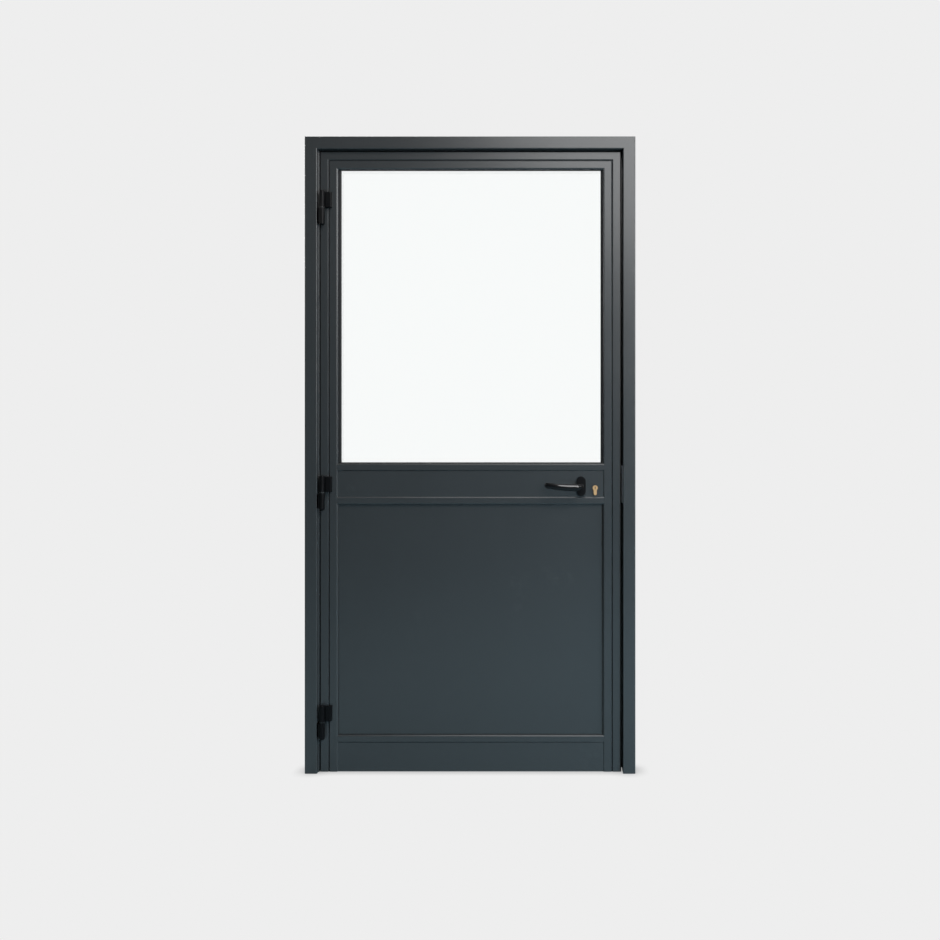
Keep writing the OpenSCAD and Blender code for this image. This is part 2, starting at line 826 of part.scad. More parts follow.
module rail_connectors() {
    inset = leaf_wall + fit;
    color(steel) for (m = [0, 1]) mirror([m, 0, 0]) {
        rail_connector(case_high + 2 * mortise_room, mid_rail_top - lip_h - inset);
        rail_connector(floor_gap + sweep_slot_d + inset, bottom_rail_top - lip_h - inset);
    }
}

// Glass and panel

module infill(z, y0, y1) {
    hw = rebate_hw - infill_room;
    span([-hw, y0, z[0] + infill_room], [hw, y1, z[1] - infill_room]);
}

module front_pane() {
    color(clear_glass) infill(glass_rebate, infill_front, infill_front + pane_t);
}

module back_pane() {
    color(clear_glass) infill(glass_rebate, infill_back - pane_t, infill_back);
}

module pane_spacer() {
    edge = infill_room + spacer_in;
    color(black) bar_ring(rebate_hw, glass_rebate)
        translate([edge, infill_front + pane_t]) square([spacer_h, infill_t - 2 * pane_t]);
}

// Flat strip with a foot in the lip's slot, and a sloping nose where it shows
module front_seal_section(nose) {
    slot = slot_u + fit;
    polygon(concat(
        [
            [seal_edge, lip_back], [slot, lip_back], [slot, lip_back - foot_d],
            [slot + foot_w, lip_back - foot_d], [slot + foot_w, lip_back]
        ],
        nose > 0
            ? [
                [lip_h, lip_back], [lip_h + nose / 4, lip_back], [lip_h + nose, infill_front - nose / 8],
                [lip_h + nose, infill_front]
            ]
            : [[lip_h - fit, lip_back], [lip_h - fit, infill_front]],
        [[seal_edge, infill_front]]
    ));
}

// Upright lengths of a front seal; the level ones lose their feet where they pass behind the stiles' lips
module front_seal_sides(z, nose) {
    bar_left(rebate_hw, z[0], z[1]) front_seal_section(nose);
    bar_right(rebate_hw, z[0], z[1]) front_seal_section(nose);
}

module glass_front_seal() {
    color(rubber) {
        front_seal_sides(glass_rebate, seal_show);
        bar_top(rebate_hw, glass_rebate[1]) front_seal_section(seal_show);
        difference() {
            bar_bottom(rebate_hw, glass_rebate[0]) front_seal_section(seal_show);
            stile_envelope();
        }
    }
}

module panel_front_seal() {
    color(rubber) {
        front_seal_sides(panel_rebate, 0);
        difference() {
            union() {
                bar_top(rebate_hw, panel_rebate[1]) front_seal_section(0);
                bar_bottom(rebate_hw, panel_rebate[0]) front_seal_section(0);
            }
            stile_envelope();
        }
    }
}

module infill_back_seals() {
    color(rubber) for (z = [glass_rebate, panel_rebate]) bar_ring(rebate_hw, z)
        translate([seal_edge, infill_back]) square([bead_h - seal_edge, back_seal_t]);
}

module bead_section() {
    difference() {
        polygon([
            [0, bead_front], [bead_h, bead_front], [bead_h, leaf_back - lip_bevel],
            [bead_h - lip_bevel, leaf_back], [0, leaf_back]
        ]);
        translate([-over, rib_y[0] - fit]) square([rib_h + fit + over, rib_y[1] - rib_y[0] + 2 * fit]);
        translate([rib_h + fit + bead_wall, bead_front + bead_wall])
            square([bead_h - rib_h - fit - 2 * bead_wall, leaf_back - bead_front - bead_wall - lip_bevel]);
    }
}

module glass_bead_left() {
    color(paint) bar_left(rebate_hw, glass_rebate[0], glass_rebate[1]) bead_section();
}

module glass_bead_right() {
    color(paint) bar_right(rebate_hw, glass_rebate[0], glass_rebate[1]) bead_section();
}

module glass_bead_top() {
    color(paint) bar_top(rebate_hw, glass_rebate[1]) bead_section();
}

module glass_bead_bottom() {
    color(paint) bar_bottom(rebate_hw, glass_rebate[0]) bead_section();
}

module panel_bead_left() {
    color(paint) bar_left(rebate_hw, panel_rebate[0], panel_rebate[1]) bead_section();
}

module panel_bead_right() {
    color(paint) bar_right(rebate_hw, panel_rebate[0], panel_rebate[1]) bead_section();
}

module panel_bead_top() {
    color(paint) bar_top(rebate_hw, panel_rebate[1]) bead_section();
}

module panel_bead_bottom() {
    color(paint) bar_bottom(rebate_hw, panel_rebate[0]) bead_section();
}

module lower_panel() {
    color(paint) infill(panel_rebate, infill_front, infill_back);
}

module setting_blocks() {
    color(black) for (z = [glass_rebate[0], panel_rebate[0]], s = [-1, 1])
        span([s * block_x - block_l / 2, infill_front, z],
            [s * block_x + block_l / 2, infill_back, z + infill_room]);
}

module sweep_seal() {
    foot = sweep_slot_w / 2 - fit;
    hw = rebate_hw;
    color(rubber) {
        span([-hw, -foot, floor_gap], [hw, foot, floor_gap + sweep_slot_d - fit]);
        span([-hw, -sweep_blade_t / 2, sweep_floor], [hw, sweep_blade_t / 2, floor_gap]);
    }
}

// Lock

// A bolt's rectangle carried along X
module bolt_bar(x0, x1, z, t, h) {
    span([x0, -t / 2, z - h / 2], [x1, t / 2, z + h / 2]);
}

module bolt_holes() {
    grow = 2 * bolt_clear;
    bolt_bar(case_front_x - 2 * forend_t, leaf_hw + over, latch_z, latch_t + grow, latch_h + grow);
    bolt_bar(case_front_x - 2 * forend_t, leaf_hw + over, bolt_z, bolt_t + grow, bolt_h + grow);
}

module lock_case() {
    color(steel) difference() {
        span([case_back_x, -case_t / 2, case_low], [case_front_x, case_t / 2, case_high]);
        span([case_back_x + case_wall, -case_t / 2 + case_wall, case_low + case_wall],
            [case_front_x - case_wall, case_t / 2 - case_wall, case_high - case_wall]);
        rose_holes(follower_r + fit, rose_hole_r + fit, -case_t, case_t);
        key_profile(fit, -case_t, case_t);
        bolt_holes();
        round_x(thread_r + fit, case_front_x - 2 * case_wall, case_front_x + over, 0, key_screw_z);
        for (z = forend_screw_z) round_x(thread_r + fit, leaf_hw - screw_l - fit, case_front_x + over, 0, z);
    }
}

module lock_forend() {
    color(steel) difference() {
        span([case_front_x, -forend_w / 2, forend_mid - forend_h / 2],
            [leaf_hw, forend_w / 2, forend_mid + forend_h / 2]);
        bolt_holes();
        for (z = concat(forend_screw_z, [key_screw_z]))
            translate([leaf_hw, 0, z]) mirror([1, 0, 0]) screw_hole_x(screw_l);
    }
}

module lock_screws() {
    color(steel) for (z = forend_screw_z) translate([leaf_hw, 0, z]) mirror([1, 0, 0]) screw_x(screw_l);
}

module cylinder_body() {
    color(brass) difference() {
        key_profile(0, -key_half, key_half);
        round_y(plug_r + plug_clear, key_x, key_z, -key_half - over, key_half + over);
        span([key_x - 2 * key_r, -key_slot, key_bridge_z], [key_x + 2 * key_r, key_slot, key_z + 2 * key_r]);
        round_x(thread_r, key_x - key_r, key_x + key_r, 0, key_screw_z);
    }
}

module cylinder_screw() {
    color(steel) translate([leaf_hw, 0, key_screw_z]) mirror([1, 0, 0]) screw_x(key_u + key_flag_r - 1);
}

// One half of the core, with its keyway
module plug(s) {
    color(brass) mirror([0, s, 0]) difference() {
        round_y(plug_r, key_x, key_z, -key_half - plug_proud, -cam_w / 2);
        span([key_x - keyway_w / 2, -key_half - over, key_z - keyway_h / 2],
            [key_x + keyway_w / 2, keyway_l - key_half, key_z + keyway_h / 2]);
    }
}

module front_plug() { plug(0); }
module back_plug() { plug(1); }

module cam() {
    color(steel) intersection() {
        union() {
            round_y(cam_hub_r, key_x, key_z, -cam_w / 2, cam_w / 2);
            span([key_x - cam_tip_w / 2, -cam_w / 2, key_z - cam_r], [key_x + cam_tip_w / 2, cam_w / 2, key_z]);
        }
        round_y(cam_r, key_x, key_z, -cam_w / 2, cam_w / 2);
    }
}

module follower() {
    color(steel) difference() {
        union() {
            round_y(follower_r, lever_x, lever_z, -follower_half, follower_half);
            translate([lever_x, 0, lever_z]) rotate([0, -45, 0])
                span([0, -latch_tail_t / 2, -follower_arm_w / 2],
                    [follower_arm_r, latch_tail_t / 2, follower_arm_w / 2]);
        }
        span([lever_x - spindle_w / 2 - fit, -2 * follower_half, lever_z - spindle_w / 2 - fit],
            [lever_x + spindle_w / 2 + fit, 2 * follower_half, lever_z + spindle_w / 2 + fit]);
    }
}

module spindle() {
    half = spindle_w / 2;
    color(steel) span([lever_x - half, spindle_end, lever_z - half],
        [lever_x + half, -spindle_end, lever_z + half]);
}

// Latch bolt drawn back flush with the forend, its nose sloping to the side that meets the strike
module latch_bolt() {
    half = latch_t / 2;
    x0 = leaf_hw - latch_head_l;
    nose = latch_travel - latch_tip;
    color(steel) {
        translate([0, 0, latch_z - latch_h / 2]) linear_extrude(latch_h) polygon([
            [x0, -half], [leaf_hw, -half], [leaf_hw, latch_tip - half], [leaf_hw - nose, half], [x0, half]
        ]);
        bolt_bar(latch_tail_x, x0 + fit, latch_z, latch_tail_t, latch_tail_h);
    }
}

module dead_bolt() {
    color(steel) bolt_bar(bolt_back_x, leaf_hw, bolt_z, bolt_t, bolt_h);
}

// Levers

// Oval plate with a bevelled front edge
module rose_plate() {
    r = rose_w / 2;
    half = rose_h / 2 - r;
    body = rose_t - rose_bevel;
    slope = [[-r, 0], [r, 0], [r - rose_bevel, rose_bevel], [rose_bevel - r, rose_bevel]];
    translate([lever_x, rail_front, lever_z]) {
        span([-r, -body, -half], [r, 0, half]);
        translate([0, -body, -half]) mirror([0, 1, 0]) linear_extrude(2 * half) polygon(slope);
        for (s = [-1, 1]) translate([0, 0, s * half]) rotate([90, 0, 0]) {
            cylinder(r = r, h = body);
            translate([0, 0, body]) cylinder(r1 = r, r2 = r - rose_bevel, h = rose_bevel);
        }
    }
}

module front_rose() {
    color(black) difference() {
        rose_plate();
        round_y(rose_bore_r, lever_x, lever_z, rose_front - over, rail_front + over);
        for (s = [-1, 1])
            round_y(rose_hole_r, lever_x, lever_z + s * rose_bolt_z, rose_bolt_end - fit, rail_front + over);
    }
}

module back_rose() {
    color(black) mirror([0, 1, 0]) difference() {
        rose_plate();
        rose_holes(rose_bore_r, rose_hole_r, rose_front - over, rail_front + over);
        for (s = [-1, 1])
            translate([lever_x, rose_front, lever_z + s * rose_bolt_z]) rotate([0, 0, 90]) screw_hole_x(over);
    }
}

module rose_bolts() {
    color(steel) for (s = [-1, 1])
        translate([lever_x, -rose_front, lever_z + s * rose_bolt_z]) rotate([90, 0, 0]) {
            cylinder(r1 = screw_head_r, r2 = rose_bolt_r, h = screw_head_h);
            cylinder(r = rose_bolt_r, h = -rose_front - rose_bolt_end);
        }
}

// Lofted grip: oval sections along X that taper, rise and close round at both ends
grip_stations = 22;
grip_sides = 28;
grip_round = 9;
grip_bow = 4;
grip_end_fill = 0.02;
grip_thin = 0.6;
function grip_fill(x) = let (
    a = max(0, (grip_round - x) / grip_round),
    b = max(0, (grip_round - (grip_l + neck_d / 2 - x)) / grip_round)
) sqrt(max(grip_end_fill, 1 - pow(max(a, b), 2)));
function grip_ring(i) = let (
    total = grip_l + neck_d / 2,
    x = total * (1 - cos(180 * i / (grip_stations - 1))) / 2,
    t = max(0, (x - neck_d / 2) / grip_l),
    fill = grip_fill(x),
    h = (grip_h + (grip_end_h - grip_h) * t) / 2 * fill,
    d = (grip_t + (grip_end_t - grip_t) * pow(t, grip_thin)) / 2 * fill,
    z = grip_rise * pow(t, 2),
    y = grip_bow * sin(180 * t)
) [
    for (k = [0 : grip_sides - 1]) let (a = 360 * k / grip_sides)
        [neck_d / 2 - x, d * cos(a) - y, h * sin(a) + z]
];

module grip() {
    points = [for (i = [0 : grip_stations - 1]) each grip_ring(i)];
    last = (grip_stations - 1) * grip_sides;
    sides = [
        for (i = [0 : grip_stations - 2], k = [0 : grip_sides - 1]) let (
            a = i * grip_sides + k,
            b = i * grip_sides + (k + 1) % grip_sides
        ) each [[a, b, b + grip_sides], [a, b + grip_sides, a + grip_sides]]
    ];
    ends = [[for (k = [grip_sides - 1 : -1 : 0]) k], [for (k = [0 : grip_sides - 1]) last + k]];
    polyhedron(points, concat(sides, ends));
}

module lever() {
    socket = spindle_w / 2 + fit;
    difference() {
        union() {
            translate([lever_x, grip_y, lever_z]) grip();
            round_y(neck_d / 2, lever_x, lever_z, grip_y, neck_end);
        }
        span([lever_x - socket, spindle_end - fit, lever_z - socket],
            [lever_x + socket, neck_end + over, lever_z + socket]);
        translate([lever_x, grub_y, lever_z - neck_d]) cylinder(r = grub_r + fit, h = neck_d);
    }
}

module front_lever() { color(black) lever(); }
module back_lever() { color(black) mirror([0, 1, 0]) lever(); }

module lever_grub_screws() {
    length = neck_d / 2 - spindle_w / 2 - 2 * fit;
    color(steel) for (m = [0, 1]) mirror([0, m, 0])
        translate([lever_x, grub_y, lever_z - spindle_w / 2 - length]) cylinder(r = grub_r, h = length);
}

hinge_jamb();
lock_jamb();
head();
frame_corner_cleats();
stop_seal();
strike_plate();
strike_screws();
hinge_base_bottom();
hinge_base_mid();
hinge_base_top();
hinge_pins();
hinge_base_screws();
hinge_stile();
lock_stile();
top_rail();
mid_rail();
bottom_rail();
leaf_corner_cleats();
rail_connectors();
front_pane();
back_pane();
pane_spacer();
glass_front_seal();
panel_front_seal();
infill_back_seals();
glass_bead_left();
glass_bead_right();
glass_bead_top();
glass_bead_bottom();
panel_bead_left();
panel_bead_right();
panel_bead_top();
panel_bead_bottom();
lower_panel();
setting_blocks();
sweep_seal();
lock_case();
lock_forend();
lock_screws();
cylinder_body();
cylinder_screw();
front_rose();
back_rose();
rose_bolts();
hinge_flag_bottom();
hinge_flag_mid();
hinge_flag_top();
hinge_bushes();
hinge_flag_screws();
hinge_flag_covers();
front_lever();
back_lever();
spindle();
follower();
lever_grub_screws();
latch_bolt();
dead_bolt();
front_plug();
back_plug();
cam();
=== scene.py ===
"""Looks of a half-glazed door with its frame, laid out as a Blender add-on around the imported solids."""

import json
import math

import bmesh
import bpy
import numpy as np
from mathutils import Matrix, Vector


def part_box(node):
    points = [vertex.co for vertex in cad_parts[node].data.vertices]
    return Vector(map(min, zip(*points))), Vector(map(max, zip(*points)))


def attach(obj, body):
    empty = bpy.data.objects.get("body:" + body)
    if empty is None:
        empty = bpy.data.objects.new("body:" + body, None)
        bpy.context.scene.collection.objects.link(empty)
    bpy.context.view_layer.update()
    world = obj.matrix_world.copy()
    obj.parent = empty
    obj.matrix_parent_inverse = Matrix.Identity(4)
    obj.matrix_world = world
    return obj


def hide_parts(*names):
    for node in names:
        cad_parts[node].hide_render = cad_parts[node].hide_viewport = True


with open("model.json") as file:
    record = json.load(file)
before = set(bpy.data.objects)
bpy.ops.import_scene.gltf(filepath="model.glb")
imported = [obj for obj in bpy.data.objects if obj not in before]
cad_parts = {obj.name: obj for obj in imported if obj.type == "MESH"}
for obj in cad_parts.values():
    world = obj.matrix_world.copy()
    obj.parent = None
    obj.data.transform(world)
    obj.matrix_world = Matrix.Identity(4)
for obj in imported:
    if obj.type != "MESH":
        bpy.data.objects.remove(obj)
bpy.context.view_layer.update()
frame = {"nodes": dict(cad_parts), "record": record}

bl_info = {
    "name": "Half-glazed door",
    "version": (1, 0, 0),
    "blender": (4, 5, 0),
    "location": "View3D > Sidebar > Door",
    "description": "Dresses a half-glazed door and its frame, and sets them on a studio stage",
    "category": "Object",
}

MM = 0.001


def box_mm(node):
    """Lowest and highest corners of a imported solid, in millimetres."""
    return [np.array(corner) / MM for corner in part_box(node)]


# Main planes of the door in millimetres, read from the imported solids
FRAME_LOW, FRAME_HIGH = box_mm("hinge_jamb")
STILE_LOW, STILE_HIGH = box_mm("hinge_stile")
MID_LOW, MID_HIGH = box_mm("mid_rail")
FOOT_TOP = box_mm("bottom_rail")[1][2]
PANE_FRONT = box_mm("front_pane")[0][1]
BEAD_LOW, BEAD_HIGH = box_mm("glass_bead_left")
PANEL_BEAD_LOW, PANEL_BEAD_HIGH = box_mm("panel_bead_left")
ROSE_LOW, ROSE_HIGH = box_mm("front_rose")
PLUG_LOW, PLUG_HIGH = box_mm("front_plug")
FLAG_LOW, FLAG_HIGH = box_mm("hinge_flag_mid")

FRAME_HW = -FRAME_LOW[0]
STOP_W, STOP_T = 22.0, 8.5
REVEAL = -FRAME_HIGH[0] + STOP_W
FRAME_TOP = FRAME_HIGH[2]
FRAME_FRONT, FRAME_BACK = FRAME_LOW[1], FRAME_HIGH[1]
LEAF_HW = -STILE_LOW[0]
LEAF_TOP = STILE_HIGH[2]
LEAF_FRONT, LEAF_BACK = STILE_LOW[1], STILE_HIGH[1]
REBATE_HW = -BEAD_LOW[0]
BEAD_H = BEAD_HIGH[0] - BEAD_LOW[0]
HINGES = ("bottom", "mid", "top")
SHARP_ANGLE = math.radians(40)
THROUGH = 1.0  # how far a cutting shape stands out of what it cuts
SQUARE = 0.01  # rounding of a cutting shape's edges


# Shapes


def fillet(points, radii, steps=5):
    """Closed outline whose corners are arcs: each corner's circle touches both of its edges, r / tan(half the
    corner's angle) away from it, and the arc runs from one touching point to the other."""
    p = np.asarray(points, float)
    to_last, to_next = np.roll(p, 1, 0) - p, np.roll(p, -1, 0) - p
    last_l, next_l = np.linalg.norm(to_last, axis=1), np.linalg.norm(to_next, axis=1)
    to_last, to_next = to_last / last_l[:, None], to_next / next_l[:, None]
    half = 0.5 * np.arccos(np.clip((to_last * to_next).sum(1), -1, 1))
    r = np.minimum(radii, 0.45 * np.minimum(last_l, next_l) * np.tan(half))
    middle = to_last + to_next
    centre = p + middle / np.linalg.norm(middle, axis=1)[:, None] * (r / np.sin(half))[:, None]
    start = p + to_last * (r / np.tan(half))[:, None] - centre
    stop = p + to_next * (r / np.tan(half))[:, None] - centre
    first = np.arctan2(start[:, 1], start[:, 0])
    turn = np.arctan2(stop[:, 1], stop[:, 0]) - first
    turn = (turn + np.pi) % (2 * np.pi) - np.pi
    angle = first[:, None] + turn[:, None] * np.linspace(0, 1, steps)
    arcs = centre[:, None] + r[:, None, None] * np.stack([np.cos(angle), np.sin(angle)], -1)
    return arcs.reshape(-1, 2)


def loft(rings):
    """Closed skin over a stack of rings (stations, points, 3): a quad joins points k and k + 1 of two
    neighbouring rings, and the first and last rings are filled."""
    rings = np.asarray(rings, float)
    stations, n = rings.shape[:2]
    k = np.arange(n)
    base = np.arange(stations - 1)[:, None] * n
    quads = np.stack([base + k, base + (k + 1) % n, base + n + (k + 1) % n, base + n + k], -1)
    faces = quads.reshape(-1, 4).tolist()
    faces += [k[::-1].tolist(), (k + (stations - 1) * n).tolist()]
    return rings.reshape(-1, 3), faces


def joined(*parts):
    """Several skins as one list of points and faces."""
    points, faces, offset = [], [], 0
    for p, f in parts:
        points.append(p)
        faces += [[i + offset for i in face] for face in f]
        offset += len(p)
    return np.concatenate(points), faces


def bar(outline, place, low, high):
    """Profile carried along a straight path: ring 0 lies where each profile point starts and ring 1 where it
    stops, so a mitre is a stop that moves with the profile's depth."""
    u, v = outline.T
    return loft([place(u, v, low + 0 * u), place(u, v, high + 0 * u)])


def slab(outline, place, t0, t1, r, steps=4):
    """Plate with rounded edges: rings step inwards by r (1 - sin a) while they rise by r (1 - cos a), and back
    again at the far side. The inward step follows the outline's normal."""
    tangent = np.roll(outline, -1, 0) - np.roll(outline, 1, 0)
    normal = np.stack([tangent[:, 1], -tangent[:, 0]], -1) / np.linalg.norm(tangent, axis=1)[:, None]
    area = np.sum(outline[:, 0] * np.roll(outline[:, 1], -1) - outline[:, 1] * np.roll(outline[:, 0], -1))
    normal *= np.sign(area)
    a = np.linspace(0, np.pi / 2, steps + 1)
    inset = np.concatenate([r * (1 - np.sin(a)), r * (1 - np.sin(a[::-1]))])
    level = np.concatenate([t0 + r * (1 - np.cos(a)), t1 - r * (1 - np.cos(a[::-1]))])
    flat = outline[None] - inset[:, None, None] * normal[None]
    return loft([place(ring[:, 0], ring[:, 1], t + 0 * ring[:, 0]) for ring, t in zip(flat, level)])


def turned(profile, centre, facets=48):
    """Surface of revolution about an upright axis: point (r, z) of the profile becomes the circle
    (r cos a, r sin a, z) round the centre."""
    a = np.linspace(0, 2 * np.pi, facets, endpoint=False)
    r, z = np.asarray(profile, float).T
    rings = np.stack([
        centre[0] + r[:, None] * np.cos(a), centre[1] + r[:, None] * np.sin(a), centre[2] + z[:, None] + 0 * a
    ], -1)
    return loft(rings)


def upright(x0, sign):
    """Place of a bar along Z: depth u runs inwards from x0."""
    return lambda u, v, s: np.stack([x0 + sign * u, v, s], -1)


def level(z0, sign):
    """Place of a bar along X: depth u runs inwards from z0."""
    return lambda u, v, s: np.stack([s, v, z0 + sign * u], -1)


def flat_front(y):
    """Place of a plate that lies across Y: the outline is X and Z."""
    return lambda u, v, s: np.stack([u, y + s, v], -1)


def flat_level(u, v, s):
    """Place of a plate that lies across Z: the outline is X and Y."""
    return np.stack([u, v, s], -1)


def flat_side(u, v, s):
    """Place of a plate that lies across X: the outline is Y and Z."""
    return np.stack([s, u, v], -1)


# Pieces


def make_piece(name, skin, body, slot, material, nodes=()):
    """A mesh at the origin from points in millimetres, outward faces, rounded shading weighted by face area."""
    points, faces = skin
    mesh = bpy.data.meshes.new(name)
    mesh.from_pydata(np.asarray(points) * MM, [], faces)
    piece = bpy.data.objects.new(name, mesh)
    bpy.context.scene.collection.objects.link(piece)
    settle(mesh)
    mesh.materials.append(bpy.data.materials[material])
    shade_edges(piece)
    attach(piece, body)
    if nodes:
        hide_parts(*nodes)
    return piece


def shade_edges(piece):
    """Smooth shading weighted by face area, which keeps the sharp edges."""
    piece.data.shade_smooth()
    piece.data.set_sharp_from_angle(angle=SHARP_ANGLE)
    piece.modifiers.new("edge shading", "WEIGHTED_NORMAL").keep_sharp = True


def settle(mesh):
    """Turns the faces outwards."""
    bm = bmesh.new()
    bm.from_mesh(mesh)
    bmesh.ops.recalc_face_normals(bm, faces=bm.faces)
    bm.to_mesh(mesh)
    bm.free()


def cut(piece, skins):
    """Cuts closed shapes out of a piece and keeps the result as its mesh."""
    points, faces = joined(*skins)
    tool_mesh = bpy.data.meshes.new("cutter")
    tool_mesh.from_pydata(np.asarray(points) * MM, [], faces)
    settle(tool_mesh)
    tool = bpy.data.objects.new("cutter", tool_mesh)
    bpy.context.scene.collection.objects.link(tool)
    piece.modifiers.clear()
    knife = piece.modifiers.new("cut", "BOOLEAN")
    knife.operation, knife.solver, knife.object = "DIFFERENCE", "EXACT", tool
    bpy.context.view_layer.update()
    mesh = bpy.data.meshes.new_from_object(piece.evaluated_get(bpy.context.evaluated_depsgraph_get()))
    piece.modifiers.clear()
    old, piece.data = piece.data, mesh
    mesh.name = piece.name
    bpy.data.meshes.remove(old)
    bpy.data.objects.remove(tool)
    bpy.data.meshes.remove(tool_mesh)
    shade_edges(piece)


def rod_x(x0, x1, y, z, r, n=32):
    """Round bar along X for a hole."""
    a = np.linspace(0, 2 * np.pi, n, endpoint=False)
    ring = np.stack([0 * a, y + r * np.cos(a), z + r * np.sin(a)], -1)
    return loft([ring + [x0, 0, 0], ring + [x1, 0, 0]])


# Settings


class DoorFinish(bpy.types.PropertyGroup):
    """Colours and gloss of the finishes."""

    coat: bpy.props.FloatVectorProperty(
        name="Coat", description="Colour of the powder coat", subtype="COLOR", size=3, min=0, max=1,
        default=(0.0157, 0.0164, 0.0167))
    coat_rough: bpy.props.FloatProperty(
        name="Coat roughness", description="Roughness of the powder coat", subtype="FACTOR", min=0, max=1,
        default=0.26)
    hardware: bpy.props.FloatVectorProperty(
        name="Hardware", description="Colour of the hinges, roses and levers", subtype="COLOR", size=3, min=0, max=1,
        default=(0.0015, 0.0015, 0.0017))
    rubber: bpy.props.FloatVectorProperty(
        name="Seals", description="Colour of the rubber seals", subtype="COLOR", size=3, min=0, max=1,
        default=(0.005, 0.005, 0.0055))
    steel: bpy.props.FloatVectorProperty(
        name="Steel", description="Colour of the plated steel", subtype="COLOR", size=3, min=0, max=1,
        default=(0.52, 0.53, 0.54))
    brass: bpy.props.FloatVectorProperty(
        name="Brass", description="Colour of the key cylinder", subtype="COLOR", size=3, min=0, max=1,
        default=(0.33, 0.19, 0.088))
    glass: bpy.props.FloatVectorProperty(
        name="Glass", description="Tint of the panes", subtype="COLOR", size=3, min=0, max=1,
        default=(0.985, 0.995, 0.992))


class DoorForm(bpy.types.PropertyGroup):
    """Sizes that the dressing adds to the solids."""

    edge: bpy.props.FloatProperty(
        name="Edge rounding", description="Rounding of the bars' edges", subtype="DISTANCE", unit="LENGTH",
        min=0.0001, max=0.002, default=0.0009)
    bend: bpy.props.FloatProperty(
        name="Lever bend", description="Radius of the bend between a lever's neck and its grip",
        subtype="DISTANCE", unit="LENGTH", min=0.010, max=0.030, default=0.016)


class DoorStage(bpy.types.PropertyGroup):
    """Camera and light."""

    eye: bpy.props.FloatVectorProperty(
        name="Camera", description="Place of the camera", subtype="XYZ", unit="LENGTH", size=3,
        default=(0.30, -3.645, 1.08))
    span: bpy.props.FloatProperty(
        name="Picture width", description="Width of the picture at the frame's front", subtype="DISTANCE",
        unit="LENGTH", min=1, max=6, default=3.096)
    middle: bpy.props.FloatProperty(
        name="Picture middle", description="Height of the picture's middle", subtype="DISTANCE", unit="LENGTH",
        min=0, max=2, default=1.0006)
    backdrop: bpy.props.FloatProperty(
        name="Backdrop", description="Brightness of the backdrop", subtype="FACTOR", min=0, max=1, default=0.855)
    shadow: bpy.props.FloatProperty(
        name="Floor shadow", description="Depth of the soft shadow at the door's foot", subtype="FACTOR",
        min=0, max=1, default=0.65)


# Finishes


def new_group(name, inputs, outputs):
    """Empty shader group with named sockets; returns it with its input and output nodes."""
    group = bpy.data.node_groups.new(name, "ShaderNodeTree")
    for label, kind, value in inputs:
        socket = group.interface.new_socket(label, in_out="INPUT", socket_type=kind)
        socket.default_value = value
    for label, kind in outputs:
        group.interface.new_socket(label, in_out="OUTPUT", socket_type=kind)
    return group, group.nodes.new("NodeGroupInput"), group.nodes.new("NodeGroupOutput")


def reckon(tree, operation, *given):
    """Math node whose inputs are sockets to link or plain numbers; returns its output socket."""
    node = tree.nodes.new("ShaderNodeMath")
    node.operation = operation
    for socket, value in zip(node.inputs, given):
        if isinstance(value, bpy.types.NodeSocket):
            tree.links.new(value, socket)
        else:
            socket.default_value = value
    return node.outputs[0]


SKIN = [("Colour", "NodeSocketColor"), ("Roughness", "NodeSocketFloat"), ("Height", "NodeSocketFloat")]


def close_skin(group, given, out, change, height):
    """Lets a value that swings about zero change the tone and the gloss, and passes the height on."""
    tone = reckon(group, "MULTIPLY_ADD", change, given.outputs["Tone"], 1.0)
    shade = group.nodes.new("ShaderNodeVectorMath")
    shade.operation = "SCALE"
    group.links.new(given.outputs["Colour"], shade.inputs[0])
    group.links.new(tone, shade.inputs["Scale"])
    gloss = reckon(group, "MULTIPLY_ADD", change, given.outputs["Gloss"], given.outputs["Roughness"])
    for label, value in (("Colour", shade.outputs[0]), ("Roughness", gloss), ("Height", height)):
        group.links.new(value, out.inputs[label])


def grain_group():
    """Fine skin of a coated or moulded surface: small bumps, a slow change of tone and of gloss."""
    group, given, out = new_group("surface grain", [
        ("Colour", "NodeSocketColor", (0.1, 0.1, 0.1, 1)), ("Roughness", "NodeSocketFloat", 0.4),
        ("Grain", "NodeSocketFloat", 1200.0), ("Patches", "NodeSocketFloat", 5.0),
        ("Tone", "NodeSocketFloat", 0.06), ("Gloss", "NodeSocketFloat", 0.08),
    ], SKIN)
    link, node = group.links.new, group.nodes.new
    place = node("ShaderNodeTexCoord")
    fine, slow = node("ShaderNodeTexNoise"), node("ShaderNodeTexNoise")
    fine.inputs["Detail"].default_value = 3
    slow.inputs["Detail"].default_value = 4
    slow.inputs["Roughness"].default_value = 0.6
    for noise, scale in ((fine, "Grain"), (slow, "Patches")):
        link(place.outputs["Object"], noise.inputs["Vector"])
        link(given.outputs[scale], noise.inputs["Scale"])
    patch = reckon(group, "SUBTRACT", slow.outputs["Fac"], 0.5)
    speck = reckon(group, "SUBTRACT", fine.outputs["Fac"], 0.5)
    close_skin(group, given, out, reckon(group, "MULTIPLY_ADD", speck, 0.6, patch), fine.outputs["Fac"])
    return group


